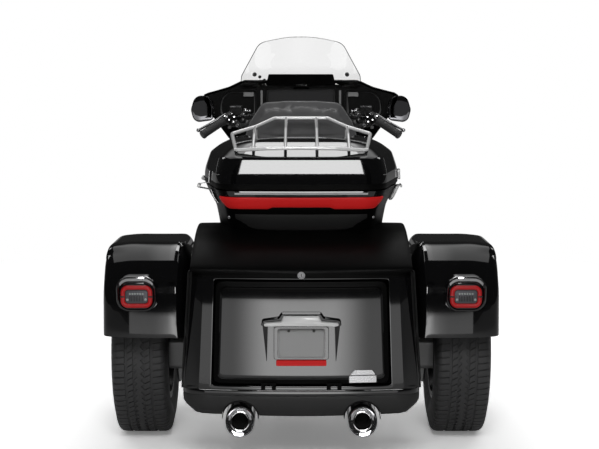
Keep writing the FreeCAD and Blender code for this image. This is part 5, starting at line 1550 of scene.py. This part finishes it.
def tread_pitch(radius, half, pitch):
    """One pitch of tread at the top of the wheel: blocks as (across, round, out) loops in millimetres."""
    parts = []

    def crown(x):
        over = max(abs(x) - (half - 22), 0)
        return radius - 1.2 - (x / half) ** 2 * 1.5 - (22 - math.sqrt(max(484 - over * over, 0)))

    def place_of(x, round_by, out):
        turn = round_by / radius
        return Vector((x, math.sin(turn) * out, math.cos(turn) * out))

    def block(side, places, low_places, slant, reach):
        """A block with chamfered edges through places across the tyre, its slanted ends a reach apart."""
        rows = []
        for x in places:
            out, lean = crown(x) - (0.8 if x in low_places else 0.0), (x - places[0]) * slant * side
            rows.append([place_of(side * x, side * s + lean, r) for s, r in (
                (-pitch * reach, out - 8), (-pitch * reach, out - 0.8), (-pitch * (reach - 0.03), out),
                (pitch * (reach - 0.03), out), (pitch * reach, out - 0.8), (pitch * reach, out - 8))])
        parts.append(solid(rows))

    rib, rib_sway, inner_end, groove = half * 0.13, half * 0.03, half * 0.43, half * 0.09
    rows = []
    for k in range(7):
        s = (k / 6 - 0.5) * pitch
        slip = abs(k - 3) / 3 * rib_sway * 4 - rib_sway * 2
        rows.append([place_of(x + slip, s, crown(rib) - drop) for x, drop in (
            (-rib, 9), (-rib, 0.8), (1 - rib, 0), (rib - 1, 0), (rib, 0.8), (rib, 9))])
    parts.append(skin(rows, closed=True))
    for side in (-1, 1):
        start, end = rib + groove, inner_end
        block(side, (start, start + 1, (start + end) / 2, end - 1, end), (start, end), 0.55, 0.42)
        start = inner_end + groove
        block(side, (start, start + 1, half * 0.62, half * 0.78, half - 14, half - 8, half - 4, half - 1.5),
              (start,), 0.10, 0.41)
    points, faces = [], []
    for more, joined in parts:
        faces += [tuple(i + len(points) for i in face) for face in joined]
        points += more
    return points, faces


track_half, rear_r, front_r, wheelbase = 575, 324, 320, 1670
for name, place, radius, width, bead_r, body in (
        ("right_tyre", (track_half, 0, rear_r), rear_r, 205, 190.5, "right_rear_wheel"),
        ("left_tyre", (-track_half, 0, rear_r), rear_r, 205, 190.5, "left_rear_wheel"),
        ("front_tyre_rubber", (0, wheelbase, front_r), front_r, 130, 203, "front_wheel")):
    half, rise = width / 2, radius - bead_r
    flank = [(-0.78, 0.004), (-0.80, 0.09), (-0.93, 0.27), (-0.985, 0.42), (-0.998, 0.52), (-0.985, 0.56),
             (-0.995, 0.565), (-0.99, 0.62), (-0.955, 0.74), (-0.925, 0.80), (-0.935, 0.805), (-0.905, 0.875),
             (-0.83, 0.925), (-0.70, 0.945), (-0.40, 0.952), (0, 0.954)]
    lining = [(-0.55, 0.86), (-0.80, 0.72), (-0.86, 0.45), (-0.72, 0.12), (-0.70, 0.004)]
    ring = flank + [(-u, v) for u, v in reversed(flank[:-1])]
    ring += [(-u, v) for u, v in reversed(lining)] + lining + [flank[0]]
    carcass = build(name, [(turned([(u * half, bead_r + v * rise) for u, v in ring], 144, place, (1, 0, 0)),
                            0)], [tyre_rubber], crease=40)
    count = 82 if width > 150 else 80
    tread = round_axle(name + "_tread", *tread_pitch(radius, half * 0.93, 2 * math.pi * radius / count),
                       place, count, tyre_rubber)
    for piece in (carcass, tread):
        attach(piece, body)
    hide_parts({"right_tyre": "right_rear_tyre",
                          "left_tyre": "left_rear_tyre"}.get(name, "front_tyre"))

# ---- wheels and brakes --------------------------------------------------------------------------
# The wheels are cast aluminium with ten spokes, painted black with a machined edge on the rim. The
# discs are as black, the calipers cast and painted, and five nuts hold each rear wheel to its hub.


def two_tone(name, axis_place, first, second, low, high):
    """A finish that changes from the first to the second (colour, roughness, metallic) with distance from a
    line across the machine, the change lying between two radii in metres."""
    material = bpy.data.materials.new(name)
    tree, add = node_tree(material)
    place = add("ShaderNodeTexCoord").outputs["Object"]
    shifted = add("ShaderNodeVectorMath", {0: place, 1: axis_place}, operation="SUBTRACT")
    flat = add("ShaderNodeVectorMath", {0: shifted.outputs[0], 1: (0, 1, 1)}, operation="MULTIPLY")
    reach = add("ShaderNodeVectorMath", {0: flat.outputs[0]}, operation="LENGTH")
    share = add("ShaderNodeMapRange", {"Value": reach.outputs["Value"], "From Min": low, "From Max": high})
    fine = add("ShaderNodeTexNoise", {"Vector": place, "Scale": 500.0, "Detail": 2.0})
    bump = add("ShaderNodeBump", {"Height": fine.outputs["Fac"], "Strength": 0.05, "Distance": 0.0005})
    coats = [add("ShaderNodeBsdfPrincipled", {"Base Color": (*color, 1), "Roughness": roughness,
                                              "Metallic": metallic, "Normal": bump.outputs[0]})
             for color, roughness, metallic in (first, second)]
    mixed = add("ShaderNodeMixShader", {"Fac": share.outputs[0], 1: coats[0].outputs[0],
                                        2: coats[1].outputs[0]})
    add("ShaderNodeOutputMaterial", {"Surface": mixed.outputs[0]})
    return material


black_cast, machined = ((0.010, 0.010, 0.011), 0.25, 0.0), ((0.50, 0.50, 0.51), 0.25, 1.0)
rear_rim_finish = two_tone("rear_rim_finish", at(0, 0, rear_r), black_cast, machined, 0.1905, 0.1915)
front_rim_finish = two_tone("front_rim_finish", at(0, wheelbase, front_r), black_cast, machined, 0.2035,
                            0.2045)
caliper_paint = finish_of("caliper_paint", (0.22, 0.22, 0.22), 0.35, metallic=0.5, grain=0.1)
wear(rear_rim_finish, "right_rear_wheel", "left_rear_wheel")
wear(front_rim_finish, "front_wheel")
wear(caliper_paint, "rear_calipers", "front_calipers")
for side, body in ((-1, "left_rear_wheel"), (1, "right_rear_wheel")):
    nut = turned([(0, 11), (2, 12.5), (3, 9.5), (15, 9.5), (17, 8), (18, 4), (18, 0.4)], 6,
                 (side * 52, 0, 36), (side, 0, 0), True, True)
    nuts = round_axle(body + "_nuts", *nut, (side * track_half, 0, rear_r), 5, steel_bright)
    cap = build(body + "_cap", [(turned([(50, 22), (60, 22), (64, 20), (66, 14), (66.5, 0.4)], 32,
                                         (side * track_half, 0, rear_r), (side, 0, 0), True, True), 0)],
                [steel_bright], crease=35)
    for piece in (nuts, cap):
        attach(piece, body)

# ---- engine -------------------------------------------------------------------------------------
# The engine is a V twin of cast aluminium: the finned cylinders are coated black, the case is bare
# and the primary and air cleaner covers are chromed. Six small screws hold the air cleaner's cover.
cast_alloy = finish_of("cast_alloy", (0.42, 0.42, 0.42), 0.38, metallic=1.0, grain=0.35, grain_size=350,
                       cloud=0.08)
engine_black = finish_of("engine_black", (0.022, 0.022, 0.023), 0.42, grain=0.25, grain_size=600, cloud=0.05)
cover_chrome = finish_of("cover_chrome", (0.78, 0.78, 0.79), 0.07, metallic=1.0, cloud=0.03, grain=0.01)
pipe_chrome = finish_of("pipe_chrome", (0.66, 0.64, 0.62), 0.14, metallic=1.0, cloud=0.06, cloud_size=20,
                        shift=0.1)
belt_rubber = finish_of("belt_rubber", (0.02, 0.02, 0.02), 0.65, grain=0.3, grain_size=400)
for finish, node in ((cast_alloy, "crankcase"), (engine_black, "engine_cylinders"),
                     (cover_chrome, "engine_covers"), (pipe_chrome, "exhaust_pipes"),
                     (belt_rubber, "drive_belt")):
    wear(finish, node)
screw = turned([(-2, 5), (3, 5), (4.2, 4.2), (4.6, 2.6), (3.4, 2.4), (3.4, 0.3)], 12, (0, 0, 62), (1, 0, 0),
               False, True)
cleaner_screws = round_axle("air_cleaner_screws", *screw, (196, 1010, 610), 6, steel_bright)
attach(cleaner_screws, "chassis")

# ---- guards, footboards, springs and tank -------------------------------------------------------
# The guard is bent steel tube and the boards are steel trays with ribbed rubber mats. The shocks have
# black springs, and the tank and side covers are pressed steel in the same gloss black as the body.
wear(powder_coat, "engine_guard", "footboards")
wear(cast_silver, "foot_controls")
wear(engine_black, "rear_shocks")
wear(paint_black, "fuel_tank", "side_covers", "front_mudguard")
mats = []
for side in (-1, 1):
    for k in range(11):
        y = 975 + k * 25
        if 1085 < y < 1135 or y > 1210:
            continue
        ridge = outline([(y - 6, 277.6, 0.5), (y + 6, 277.6, 0.5), (y + 4, 283, 2), (y - 4, 283, 2)], 3)
        mats.append((solid([[Vector((side * x, p.x, p.y)) for p in ridge] for x in (214, 296)]), 0))
board_mats = build("footboard_mats", mats, [rubber], crease=35)
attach(board_mats, "chassis")
cap_profile = [(-8, 38), (2, 38), (6, 36), (10, 35), (16, 33), (19, 28), (20, 12), (20, 0.4)]
filler_cap = build("filler_cap", [(turned(cap_profile, 40, (70, 1080, 948), (0.16, 0, 1), False, True), 0)],
                   [cover_chrome], crease=35)
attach(filler_cap, "chassis")

# ---- fork and front lamps -----------------------------------------------------------------------
# The fork's sliders are cast and painted black. The headlamp and the two side lamps are steel shells
# with chromed bezels, each with a clear lens over its reflector.
wear(engine_black, "front_fork")
wear(cover_chrome, "front_lamps")
lens_glass = finish_of("lens_glass", (0.80, 0.82, 0.84), 0.12, metallic=0.75, coat=1.0, grain=0.02,
                       cloud=0.03)
lamps = [((0, 1693, 965), 70), ((-192, 1621, 838), 46), ((192, 1621, 838), 46)]
lenses = []
for spot, radius in lamps:
    dome = [(0, radius + 1.5), (2, radius + 1.5), (3, radius)]
    dome += [(3 + 9 * math.sin(t * math.pi / 12), max(radius * math.cos(t * math.pi / 12), 0.4))
             for t in range(1, 7)]
    lenses.append((turned(dome, 40, spot, (0, 1, 0), True, True), 0))
lamp_lenses = build("front_lamp_lenses", lenses, [lens_glass], crease=40)
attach(lamp_lenses, "steering")
